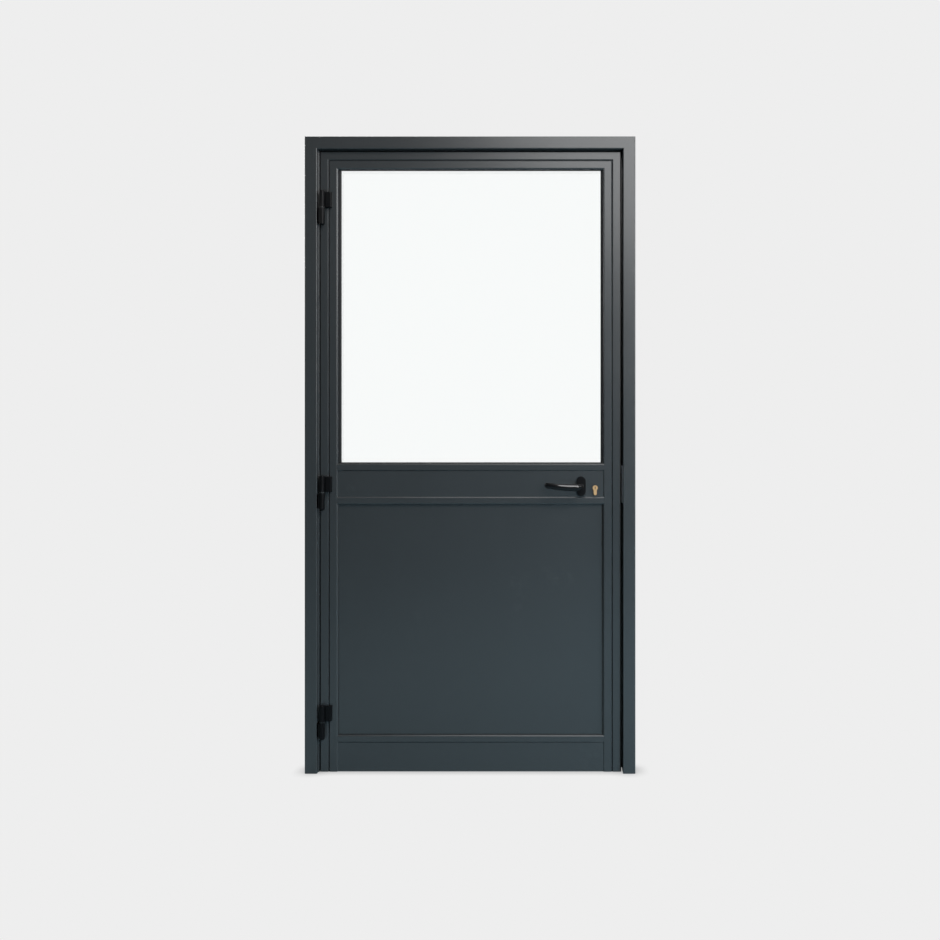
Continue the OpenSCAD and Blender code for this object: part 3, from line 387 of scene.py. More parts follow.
def brush_group():
    """Brushed metal: noise drawn out along one axis sets the height, and a slower one the tone and gloss."""
    group, given, out = new_group("brushed metal", [
        ("Colour", "NodeSocketColor", (0.5, 0.5, 0.5, 1)), ("Roughness", "NodeSocketFloat", 0.3),
        ("Stretch", "NodeSocketVector", (1400.0, 1400.0, 40.0)), ("Tone", "NodeSocketFloat", 0.2),
        ("Gloss", "NodeSocketFloat", 0.15),
    ], SKIN)
    link, node = group.links.new, group.nodes.new
    place, drawn = node("ShaderNodeTexCoord"), node("ShaderNodeVectorMath")
    drawn.operation = "MULTIPLY"
    link(place.outputs["Object"], drawn.inputs[0])
    link(given.outputs["Stretch"], drawn.inputs[1])
    lines = node("ShaderNodeTexNoise")
    lines.inputs["Scale"].default_value = 1
    lines.inputs["Detail"].default_value = 4
    link(drawn.outputs[0], lines.inputs["Vector"])
    close_skin(group, given, out, reckon(group, "SUBTRACT", lines.outputs["Fac"], 0.5), lines.outputs["Fac"])
    return group


def new_material(name, group, values, bump, distance, **constants):
    """Material with one Principled shader fed by a group; constants are set on the shader's own sockets."""
    material = bpy.data.materials.new(name)
    material.use_nodes = True
    tree = material.node_tree
    shader = tree.nodes["Principled BSDF"]
    if group:
        skin = tree.nodes.new("ShaderNodeGroup")
        skin.node_tree = group
        for label, value in values.items():
            skin.inputs[label].default_value = value
        relief = tree.nodes.new("ShaderNodeBump")
        relief.inputs["Strength"].default_value = bump
        relief.inputs["Distance"].default_value = distance
        tree.links.new(skin.outputs["Colour"], shader.inputs["Base Color"])
        tree.links.new(skin.outputs["Roughness"], shader.inputs["Roughness"])
        tree.links.new(skin.outputs["Height"], relief.inputs["Height"])
        tree.links.new(relief.outputs["Normal"], shader.inputs["Normal"])
    for label, value in constants.items():
        shader.inputs[label.replace("_", " ")].default_value = value
    return material


def rgba(colour):
    """Colour with full opacity."""
    return (*colour, 1.0)


def grey(value):
    """Opaque grey of one level."""
    return rgba((value, value, value))


SLOT_MATERIALS = {
    "satin_paint": "satin coat", "panel_paint": "panel coat", "cleat_alloy": "mill alloy", "spacer_bar": "spacer bar",
    "clear_glass": "clear pane", "seal_rubber": "seal rubber", "black_hardware": "black hardware",
    "lock_steel": "plated steel", "cylinder_brass": "cylinder brass", "hinge_nylon": "nylon",
}


class DOOR_OT_finishes(bpy.types.Operator):
    """Makes the finishes and puts them on the solids that stay in view."""

    bl_idname = "door.finishes"
    bl_label = "Finishes"

    def execute(self, context):
        finish = context.scene.door_finish
        grain, brush = grain_group(), brush_group()
        coat = {"Colour": rgba(finish.coat), "Roughness": finish.coat_rough, "Grain": 1500.0, "Patches": 4.0,
                "Tone": 0.10, "Gloss": 0.06}
        new_material("satin coat", grain, coat, 0.06, 0.0004)
        new_material("panel coat", grain, coat, 0.05, 0.0004)
        new_material("black hardware", grain, {
            "Colour": rgba(finish.hardware), "Roughness": 0.42, "Grain": 2600.0, "Patches": 30.0, "Tone": 0.25,
            "Gloss": 0.08}, 0.05, 0.0003, Specular_IOR_Level=0.1)
        new_material("polished black", grain, {
            "Colour": rgba(finish.hardware), "Roughness": 0.19, "Grain": 2600.0, "Patches": 30.0, "Tone": 0.25,
            "Gloss": 0.05}, 0.03, 0.0003, Specular_IOR_Level=0.25)
        new_material("seal rubber", grain, {
            "Colour": rgba(finish.rubber), "Roughness": 0.62, "Grain": 1800.0, "Patches": 20.0, "Tone": 0.3,
            "Gloss": 0.1}, 0.12, 0.0004, Specular_IOR_Level=0.2)
        new_material("nylon", grain, {
            "Colour": (0.045, 0.045, 0.047, 1), "Roughness": 0.5, "Grain": 2200.0, "Patches": 40.0, "Tone": 0.2,
            "Gloss": 0.1}, 0.1, 0.0003)
        new_material("spacer bar", brush, {
            "Colour": (0.02, 0.02, 0.022, 1), "Roughness": 0.45, "Stretch": (900.0, 900.0, 60.0)}, 0.05, 0.0002)
        new_material("mill alloy", brush, {
            "Colour": (0.62, 0.62, 0.63, 1), "Roughness": 0.38}, 0.08, 0.0002, Metallic=1.0)
        new_material("plated steel", brush, {
            "Colour": rgba(finish.steel), "Roughness": 0.30}, 0.08, 0.0002, Metallic=1.0)
        new_material("cylinder brass", brush, {
            "Colour": rgba(finish.brass), "Roughness": 0.32, "Stretch": (1600.0, 200.0, 1600.0)}, 0.08, 0.0002,
            Metallic=0.4)
        new_material("clear pane", None, {}, 0, 0, **{
            "Base_Color": rgba(finish.glass), "Roughness": 0.0, "IOR": 1.5, "Transmission_Weight": 1.0})
        slots = {row["node"]: row["material_slot"] for row in frame["record"]["subparts"]}
        for name, solid in frame["nodes"].items():
            solid.data.materials.clear()
            solid.data.materials.append(bpy.data.materials[SLOT_MATERIALS[slots[name]]])
        return {"FINISHED"}


# Frame


FRAME_BEVEL, HINGE_LEDGE, LEDGE_BACK = 1.9, 3.2, 14.0
FIXING_HEIGHTS = FRAME_TOP / 2 + np.array([-700.0, -300.0, 300.0, 700.0])
FIXING_R, ACCESS_R, WALL_ROOM, HOLE_DEPTH = 5.25, 8.0, 8.0, 30.0
KEEP_HALF, KEEP_HEIGHTS = 8.2, ((957.8, 982.2), (921.8, 948.2))


def frame_outline(edge, ledge=0.0):
    """Section of the jambs and the head: bevelled front face, side walls and the stop fin at the back. A ledge
    narrows the joint beside the leaf, from just before the leaf's front to the wall's middle."""
    face, inner = FRAME_HW - REVEAL, FRAME_HW - REVEAL + STOP_W
    shoulder, stop, near = FRAME_FRONT + FRAME_BEVEL, FRAME_BACK - STOP_T, LEAF_FRONT + 1
    step = face + ledge
    joint = [(face, near), (step, near), (step, LEDGE_BACK), (face, LEDGE_BACK)] if ledge else []
    joint_r = [edge / 2, 1.5 * edge, edge, edge / 2] if ledge else []
    points = [
        (0, shoulder), (FRAME_BEVEL, FRAME_FRONT), (face - FRAME_BEVEL, FRAME_FRONT), (face, shoulder),
        *joint, (face, stop), (inner, stop), (inner, FRAME_BACK), (0, FRAME_BACK),
    ]
    return fillet(points, [4 * edge] * 4 + joint_r + [edge / 2, edge, edge, edge])


class DOOR_OT_frame_bars(bpy.types.Operator):
    """Jambs and head with rounded edges, mitred at the top corners, and the holes in the jambs."""

    bl_idname = "door.frame_bars"
    bl_label = "Frame bars"

    def execute(self, context):
        edge = context.scene.door_form.edge / MM
        outline, stepped = frame_outline(edge), frame_outline(edge, HINGE_LEDGE)
        depth = outline[:, 0]
        coat = ("frame", "satin_paint", "satin coat")
        hinge_side = make_piece("frame_hinge_side", bar(
            stepped, upright(-FRAME_HW, 1), 0, FRAME_TOP - stepped[:, 0]), *coat, ["hinge_jamb"])
        lock_side = make_piece("frame_lock_side", bar(outline, upright(FRAME_HW, -1), 0, FRAME_TOP - depth),
                               *coat, ["lock_jamb"])
        make_piece("frame_head", bar(outline, level(FRAME_TOP, -1), depth - FRAME_HW, FRAME_HW - depth),
                   *coat, ["head"])
        inside = REVEAL - HINGE_LEDGE - THROUGH
        holes = [rod_x(inside, REVEAL + HOLE_DEPTH, 0, z, ACCESS_R) for z in FIXING_HEIGHTS]
        holes += [rod_x(FRAME_HW - WALL_ROOM, FRAME_HW + THROUGH, 0, z, FIXING_R) for z in FIXING_HEIGHTS]
        cut(hinge_side, [(p * [-1, 1, 1], f) for p, f in holes])
        keeps = [
            slab(np.array([(-KEEP_HALF, z0), (KEEP_HALF, z0), (KEEP_HALF, z1), (-KEEP_HALF, z1)]),
                 flat_side, REVEAL - THROUGH, REVEAL + HOLE_DEPTH, SQUARE)
            for z0, z1 in KEEP_HEIGHTS
        ]
        cut(lock_side, holes + keeps)
        return {"FINISHED"}


# Leaf


SOLE = 1.2  # height of the leaf's foot above the floor
CHAMBER, LIP, LIP_BEVEL = 42.0, 16.0, 4.0
LIP_BACK = LEAF_FRONT + 9.0
EDGE_OVER, EDGE_BEVEL, EDGE_BACK = 2.0, 3.0, LEAF_FRONT + 7.0
GROOVE_U, GROOVE_HALF, GROOVE_D = 28.0, 3.0, 4.5
HARDWARE_HALF, HARDWARE_D = 12.5, 3.0
RAIL_FRONT, RAIL_BACK = LEAF_FRONT + 3.0, LEAF_BACK - 3.0
BAND, BAND_FOOT = 22.0, 25.0
QUIRK_OUT, QUIRK_IN, QUIRK_BACK = 0.6, 1.6, RAIL_FRONT + 2.0
SWEEP_HALF, SWEEP_D = 4.0, 6.0
KEY_X, KEY_Z = (PLUG_LOW + PLUG_HIGH)[[0, 2]] / 2
KEY_HEAD_R, KEY_LEG_R, KEY_DROP, KEY_ROOM = 8.5, 5.0, 19.5, 1.0
SLACK = 0.05


def stile_outline(edge):
    """Section of the stiles and the top rail: rounded edge that narrows the joint, shadow groove, bevelled lip,
    hardware groove."""
    front, half, lip = LEAF_FRONT, HARDWARE_HALF, CHAMBER + LIP
    points = [
        (-EDGE_OVER, front + EDGE_BEVEL), (EDGE_BEVEL - EDGE_OVER, front),
        (GROOVE_U - GROOVE_HALF, front), (GROOVE_U, front + GROOVE_D), (GROOVE_U + GROOVE_HALF, front),
        (lip - LIP_BEVEL, front), (lip, front + LIP_BEVEL), (lip, LIP_BACK), (CHAMBER, LIP_BACK),
        (CHAMBER, LEAF_BACK), (0, LEAF_BACK), (0, half), (HARDWARE_D, half), (HARDWARE_D, -half), (0, -half),
        (0, LIP_BACK), (-EDGE_OVER, EDGE_BACK),
    ]
    big, mid, small = 3.2 * edge, 1.6 * edge, 0.3 * edge
    return fillet(points, [big, big, mid, small, mid, big, big, edge, small, edge, edge] + [small] * 4 + [edge, edge])


def rail_outline(edge, height, both):
    """Section of a rail: bevelled lip, raised band and step down to the sunk middle, at one edge or at both; the
    step that faces down has a fine quirk at its foot."""
    band = [(LIP, LIP_BACK), (0, LIP_BACK), (0, LEAF_FRONT + LIP_BEVEL), (LIP_BEVEL, LEAF_FRONT),
            (BAND, LEAF_FRONT), (BAND_FOOT, RAIL_FRONT)]
    rounding = [0.3 * edge, edge, 3.2 * edge, 3.2 * edge, 2.4 * edge, 0.5 * edge]
    fine = [0.5 * edge, 0.3 * edge, 0.3 * edge]
    quirk = [(BAND_FOOT + QUIRK_OUT, RAIL_FRONT), (BAND_FOOT, QUIRK_BACK), (BAND_FOOT - QUIRK_IN, QUIRK_BACK)]
    top = [(height - u, v) for u, v in quirk + band[-2::-1]] + [(height - LIP, RAIL_BACK)]
    if both:
        points = band + top + [(LIP, RAIL_BACK)]
        return fillet(points, rounding + fine + [edge] + rounding[-3::-1] + [edge, edge])
    sweep = [(0, SWEEP_HALF), (SWEEP_D, SWEEP_HALF), (SWEEP_D, -SWEEP_HALF), (0, -SWEEP_HALF)]
    points = [(0, RAIL_FRONT)] + top + [(0, RAIL_BACK)] + sweep
    return fillet(points, [edge] + fine + [edge] + rounding[-3::-1] + [edge, edge] + [0.3 * edge] * 4)


def coped_end(v):
    """How far a rail's point at depth v runs: to the rebate behind the stile's lip, to the lip's side in front of
    it, and along its bevel at the very front."""
    lip_x = LEAF_HW - CHAMBER - LIP
    front = lip_x + np.clip(LEAF_FRONT + LIP_BEVEL - v, 0, LIP_BEVEL)
    return np.where(v > LIP_BACK + SLACK, LEAF_HW - CHAMBER, front)


class DOOR_OT_leaf_bars(bpy.types.Operator):
    """Stiles and rails of the leaf with rounded edges: mitred at the top, coped where the rails meet the stiles."""

    bl_idname = "door.leaf_bars"
    bl_label = "Leaf bars"

    def execute(self, context):
        edge = context.scene.door_form.edge / MM
        outline = stile_outline(edge)
        depth = outline[:, 0]
        coat = ("leaf", "satin_paint", "satin coat")
        make_piece("leaf_hinge_stile", bar(outline, upright(-LEAF_HW, 1), SOLE, LEAF_TOP - depth), *coat,
                   ["hinge_stile"])
        make_piece("leaf_lock_stile", bar(outline, upright(LEAF_HW, -1), SOLE, LEAF_TOP - depth), *coat,
                   ["lock_stile"])
        make_piece("leaf_top_rail", bar(outline, level(LEAF_TOP, -1), depth - LEAF_HW, LEAF_HW - depth), *coat,
                   ["top_rail"])
        middle = rail_outline(edge, MID_HIGH[2] - MID_LOW[2], True)
        reach = coped_end(middle[:, 1])
        mid_rail = make_piece("leaf_mid_rail", bar(middle, level(MID_LOW[2], 1), -reach, reach), *coat, ["mid_rail"])
        foot = rail_outline(edge, FOOT_TOP - SOLE, False)
        reach = coped_end(foot[:, 1])
        make_piece("leaf_bottom_rail", bar(foot, level(SOLE, 1), -reach, reach), *coat, ["bottom_rail"])
        cut(mid_rail, [slab(key_outline(), flat_front(0), LEAF_FRONT - THROUGH, LEAF_BACK + THROUGH, SQUARE)])
        return {"FINISHED"}


def key_outline():
    """Outline of the cylinder's hole in X and Z: a round head over a narrow round-ended leg, with some room."""
    head_r, leg_r = KEY_HEAD_R + KEY_ROOM, KEY_LEG_R + KEY_ROOM
    meet = math.asin(leg_r / head_r)
    a = np.linspace(-np.pi / 2 + meet, 1.5 * np.pi - meet, 40)
    b = np.linspace(np.pi, 2 * np.pi, 20)
    head = np.stack([KEY_X + head_r * np.cos(a), KEY_Z + head_r * np.sin(a)], -1)
    leg = np.stack([KEY_X + leg_r * np.cos(b), KEY_Z - KEY_DROP + leg_r * np.sin(b)], -1)
    return np.concatenate([head, leg])


def ring_bars(outline, z0, z1):
    """Four mitred bars round an opening, in the order left, right, top, bottom."""
    depth = outline[:, 0]
    return {
        "left": bar(outline, upright(-REBATE_HW, 1), z0 + depth, z1 - depth),
        "right": bar(outline, upright(REBATE_HW, -1), z0 + depth, z1 - depth),
        "top": bar(outline, level(z1, -1), depth - REBATE_HW, REBATE_HW - depth),
        "bottom": bar(outline, level(z0, 1), depth - REBATE_HW, REBATE_HW - depth),
    }


BEAD_BEVEL = 4.0
SEAL_NOSES = (10.0, 8.0, 2.5, 3.5)  # left, right, top, bottom
SEAL_START, SEAL_TIP = 5.0, 1.2


def seal_outline(nose):
    """Section of the glass's front seal: it starts behind the lip and shows a round nose beyond it."""
    tip, pane = LIP + nose, PANE_FRONT
    return fillet([(SEAL_START, LIP_BACK), (LIP + 0.4 * nose, LIP_BACK), (tip, pane - SEAL_TIP), (tip, pane),
                   (SEAL_START, pane)], [0.3, 1.6, 0.6, 0.2, 0.3])


class DOOR_OT_glazing(bpy.types.Operator):
    """Glazing beads at the back and the glass's front seal with its round nose."""

    bl_idname = "door.glazing"
    bl_label = "Beads and seals"

    def execute(self, context):
        edge = context.scene.door_form.edge / MM
        front, bevel = BEAD_LOW[1], LEAF_BACK - BEAD_BEVEL
        outline = fillet(
            [(0, front), (BEAD_H, front), (BEAD_H, bevel), (BEAD_H - BEAD_BEVEL, LEAF_BACK), (0, LEAF_BACK)],
            [0.3 * edge, edge, 2.2 * edge, 2.2 * edge, 0.5 * edge])
        for name, low, high in (("glass_bead", BEAD_LOW, BEAD_HIGH), ("panel_bead", PANEL_BEAD_LOW, PANEL_BEAD_HIGH)):
            for side, skin in ring_bars(outline, low[2], high[2]).items():
                make_piece(f"{name}_{side}_bar", skin, "leaf", "satin_paint", "satin coat", [f"{name}_{side}"])
        left, right, top, bottom = (seal_outline(nose) for nose in SEAL_NOSES)
        z0, z1 = BEAD_LOW[2], BEAD_HIGH[2]
        bars = [ring_bars(top, z0, z1)["top"], ring_bars(bottom, z0, z1)["bottom"]]
        for seal, x, sign in ((left, -REBATE_HW, 1), (right, REBATE_HW, -1)):
            low, high = (np.minimum(seal[:, 0], across[:, 0].max()) for across in (bottom, top))
            bars.append(bar(seal, upright(x, sign), z0 + low, z1 - high))
        make_piece("glass_nose_seal", joined(*bars), "leaf", "seal_rubber", "seal rubber", ["glass_front_seal"])
        return {"FINISHED"}


# Hinges


KNUCKLE_R = 9.0
HINGE_X, HINGE_Y = FLAG_LOW[:2] + KNUCKLE_R
FLAG_END = FLAG_HIGH[0]
FLAG_FRONT, FLAG_BEVEL, FLAG_SPAN = -38.0, 3.0, (2.0, 52.0)
COVER_ROOM, COVER_IN, COVER_BEVEL, COVER_FRONT = 0.2, 1.5, 1.5, -40.5
WING_FRONT, WING_BACK, WING_T, NECK_BACK, WING_SPAN = -46.0, 14.0, 4.0, -40.0, (-50.0, -4.0)
FLAG_TOP = 56.0  # height of the upper knuckle's end above the split
UPPER_L, UPPER_ROUND, UPPER_GAP = 55.5, 3.0, 0.5
LOWER_L, LOWER_ROUND, LOWER_GAP = 58.4, 7.0, 0.6


def end_profile(length, r):
    """Half outline (radius, height) of a knuckle: a small chamfer at the split, straight wall, rounded end."""
    a = np.linspace(0, np.pi / 2, 10)
    wall = [(0.5, 0.0), (KNUCKLE_R - 0.5, 0.0), (KNUCKLE_R - 0.15, 0.15), (KNUCKLE_R, 0.5)]
    turn = np.stack([KNUCKLE_R - r + r * np.cos(a), length - r + r * np.sin(a)], -1)
    return np.concatenate([wall, turn, [(0.5, length)]])


class DOOR_OT_hinges(bpy.types.Operator):
    """Three barrel hinges: the lower knuckle with its wing on the frame, the upper with its flag on the leaf."""

    bl_idname = "door.hinges"
    bl_label = "Hinges"

    def execute(self, context):
        flag = fillet([
            (HINGE_X, FLAG_FRONT), (FLAG_END - FLAG_BEVEL, FLAG_FRONT), (FLAG_END, FLAG_FRONT + FLAG_BEVEL),
            (FLAG_END, LEAF_FRONT), (HINGE_X + FLAG_BEVEL, LEAF_FRONT), (HINGE_X, LEAF_FRONT - FLAG_BEVEL),
        ], [0.5, 1.2, 1.2, 0.8, 0.8, 0.8])
        near, far, rim = HINGE_X + KNUCKLE_R + COVER_ROOM, FLAG_END - COVER_IN, COVER_FRONT + COVER_BEVEL
        cover = fillet([
            (near, FLAG_FRONT), (far, FLAG_FRONT), (far, rim), (far - COVER_BEVEL, COVER_FRONT),
            (near + COVER_BEVEL, COVER_FRONT), (near, rim),
        ], [0.2, 0.2, 0.7, 0.7, 0.7, 0.7])
        wall, wing_x = -REVEAL, WING_T - REVEAL
        wing = fillet([(wall, WING_FRONT), (wing_x, WING_FRONT), (wing_x, WING_BACK), (wall, WING_BACK)],
                      [0.4, 0.4, 1.2, 1.2])
        neck = fillet([(wall, WING_FRONT), (HINGE_X, WING_FRONT), (HINGE_X, NECK_BACK), (wall, NECK_BACK)],
                      [0.4, 0.3, 0.3, 0.8])
        black = ("black_hardware", "black hardware")
        covers = []
        for which in HINGES:
            split = box_mm(f"hinge_flag_{which}")[1][2] - FLAG_TOP
            pin = (HINGE_X, HINGE_Y, split)
            upper = turned(end_profile(UPPER_L, UPPER_ROUND) + [0, UPPER_GAP], pin)
            lower = turned(end_profile(LOWER_L, LOWER_ROUND) * [1, -1] - [0, LOWER_GAP], pin)
            flag_z, wing_z = np.add(split, FLAG_SPAN), np.add(split, WING_SPAN)
            plate = slab(flag, flat_level, *flag_z, 0.8)
            make_piece(f"hinge_leaf_{which}", joined(upper, plate), "leaf", *black, [f"hinge_flag_{which}"])
            foot = joined(lower, slab(wing, flat_level, *wing_z, 0.6), slab(neck, flat_level, *wing_z, 0.4))
            make_piece(f"hinge_foot_{which}", foot, "frame", *black, [f"hinge_base_{which}"])
            covers.append(slab(cover, flat_level, *flag_z, 0.6))
        make_piece("hinge_caps", joined(*covers), "leaf", *black, ["hinge_flag_covers"])
        return {"FINISHED"}


# Levers


LEVER_X, LEVER_Z = (ROSE_LOW + ROSE_HIGH)[[0, 2]] / 2
GRIP_Y, ROSE_Y, NECK_START = -67.0, RAIL_FRONT, 3.0
LEVER_L, TIP_ROUND, TIP_LEAST = 120.0, 9.0, 0.003
GRIP_DROP, GRIP_BOW, TIP_RISE, TIP_BACK = 3.0, 4.0, 8.0, 8.0
NECK_R, TALL_GROW, TALL_TAPER, DEEP_GROW, DEEP_TAPER = 9.0, 2.75, 2.5, 0.6, 4.4
ROSE_R, ROSE_HALF, ROSE_T, ROSE_EDGE = 15.5, 33.0, 9.0, 2.2


def lever_skin(bend, side):
    """Oval section carried along a path that leaves the rose, turns through a quarter circle and runs to the tip.
    The grip hangs a little under the neck. Along it t goes from 0 to 1: height and depth taper, the middle line
    bows by sin(pi t), rises by t squared and turns back to the door by (2 t - 1) squared in its outer half. The
    section closes as sqrt(1 - q^2) over the last few millimetres."""
    neck = np.linspace(0, 1, 6)
    start = ROSE_Y - NECK_START
    y_neck = start + neck * (GRIP_Y + bend - start)
    a = np.linspace(0, np.pi / 2, 14)[1:]
    t = (1 - np.cos(np.linspace(0, np.pi, 40)[1:])) / 2
    run = bend + t * (LEVER_L - bend)
    x = np.concatenate([0 * y_neck, -bend + bend * np.cos(a), -run])
    back = TIP_BACK * np.maximum(0, 2 * t - 1) ** 2
    y = np.concatenate([y_neck, GRIP_Y + bend - bend * np.sin(a), GRIP_Y - GRIP_BOW * np.sin(np.pi * t) + back])
    z = np.concatenate([0 * y_neck, -GRIP_DROP * np.sin(a) ** 2, TIP_RISE * t ** 2 - GRIP_DROP])
    grow = np.concatenate([0 * neck, np.sin(a) ** 2, 1 + 0 * t])
    taper = np.concatenate([0 * neck, 0 * a, t])
    q = np.clip(1 - (LEVER_L - np.concatenate([0 * neck, 0 * a, run])) / TIP_ROUND, 0, 1)
    fill = np.sqrt(np.maximum(TIP_LEAST, 1 - q ** 2))
    tall = (NECK_R + TALL_GROW * grow - TALL_TAPER * taper) * fill
    deep = (NECK_R + DEEP_GROW * grow - DEEP_TAPER * taper ** 0.6) * fill
    dx, dy = np.gradient(x), np.gradient(y)
    size = np.hypot(dx, dy)
    side_x, side_y = -dy / size, dx / size
    ring = np.linspace(0, 2 * np.pi, 40, endpoint=False)
    out = np.stack([
        LEVER_X + x[:, None] + deep[:, None] * side_x[:, None] * np.cos(ring),
        y[:, None] + deep[:, None] * side_y[:, None] * np.cos(ring),
        LEVER_Z + z[:, None] + tall[:, None] * np.sin(ring),
    ], -1)
    points, faces = loft(out)
    return points * [1, side, 1], faces


def rose_outline():
    """Stadium in X and Z: two half circles joined by straight sides."""
    half = ROSE_HALF - ROSE_R
    a = np.linspace(0, np.pi, 24)
    top = np.stack([LEVER_X + ROSE_R * np.cos(a), LEVER_Z + half + ROSE_R * np.sin(a)], -1)
    low = np.stack([LEVER_X - ROSE_R * np.cos(a), LEVER_Z - half - ROSE_R * np.sin(a)], -1)
    return np.concatenate([top, low])


class DOOR_OT_levers(bpy.types.Operator):
    """Both levers and their oval roses."""

    bl_idname = "door.levers"
    bl_label = "Levers and roses"

    def execute(self, context):
        bend = context.scene.door_form.bend / MM
        black = ("black_hardware", "black hardware")
        for name, side in (("front", 1), ("back", -1)):
            make_piece(f"lever_{name}", lever_skin(bend, side), "levers", "black_hardware", "polished black",
                       [f"{name}_lever"])
            points, faces = slab(rose_outline(), flat_front(ROSE_Y), -ROSE_T, 0.0, ROSE_EDGE)
            make_piece(f"rose_{name}", (points * [1, side, 1], faces), "leaf", *black, [f"{name}_rose"])
        return {"FINISHED"}


# Stage


FAR_Y, FLOOR_HALF, SHADOW_REACH = 0.5, 14.0, 0.05
STUDIO, CLOTH = (0.08, 0.085, 0.09), (0.28, 0.40, 0.45)
SENSOR_W, CLIP_END = 36, 60


def far_side(tree, place):
    """Value that goes from 0 to 1 as Y passes from the camera's side to the backdrop's side."""
    axes, ramp = tree.nodes.new("ShaderNodeSeparateXYZ"), tree.nodes.new("ShaderNodeMapRange")
    ramp.inputs["From Min"].default_value, ramp.inputs["From Max"].default_value = 0.0, FAR_Y
    tree.links.new(place, axes.inputs[0])
    tree.links.new(axes.outputs["Y"], ramp.inputs["Value"])
    return ramp.outputs["Result"]


WHITE, COOL = (1.0, 1.0, 1.0), (0.5, 0.80, 1.0)
# Name, place, aim, size, power, colour, seen in gloss
LAMPS = (
    ("key", (1.0, -3.0, 3.38), (0.3, 0.0, 1.6), 2.5, 84, WHITE, True),
    ("main", (2.0, -3.0, 4.2), (0.0, 0.0, 1.1), 0.8, 120, WHITE, True),
    ("right", (1.8, -2.8, 1.75), (0.2, 0.0, 1.4), 1.5, 42, WHITE, True),
    ("left", (-3.0, -0.7, 2.2), (0.3, 0.0, 1.5), 1.2, 14, WHITE, True),
    ("side", (3.2, -1.05, 2.8), (-0.3, 0.0, 1.5), 1.6, 32, WHITE, True),
    ("top", (0.2, -0.7, 4.3), (0.2, -0.4, 1.0), 2.0, 27, WHITE, True),
    ("fill", (3.5, -0.8, 1.6), (-0.3, 0.0, 1.2), 1.5, 90, WHITE, False),
    ("low", (1.8, -2.1, 0.3), (0.3, 0.0, 0.1), 1.0, 146, COOL, False),
    ("back", (-1.2, 3.4, 3.0), (0.0, 0.0, 1.1), 2.0, 130, WHITE, True),
)
GLINT_SHIFT, GLINT_POWER = (0.0, 0.12, -0.08), 190


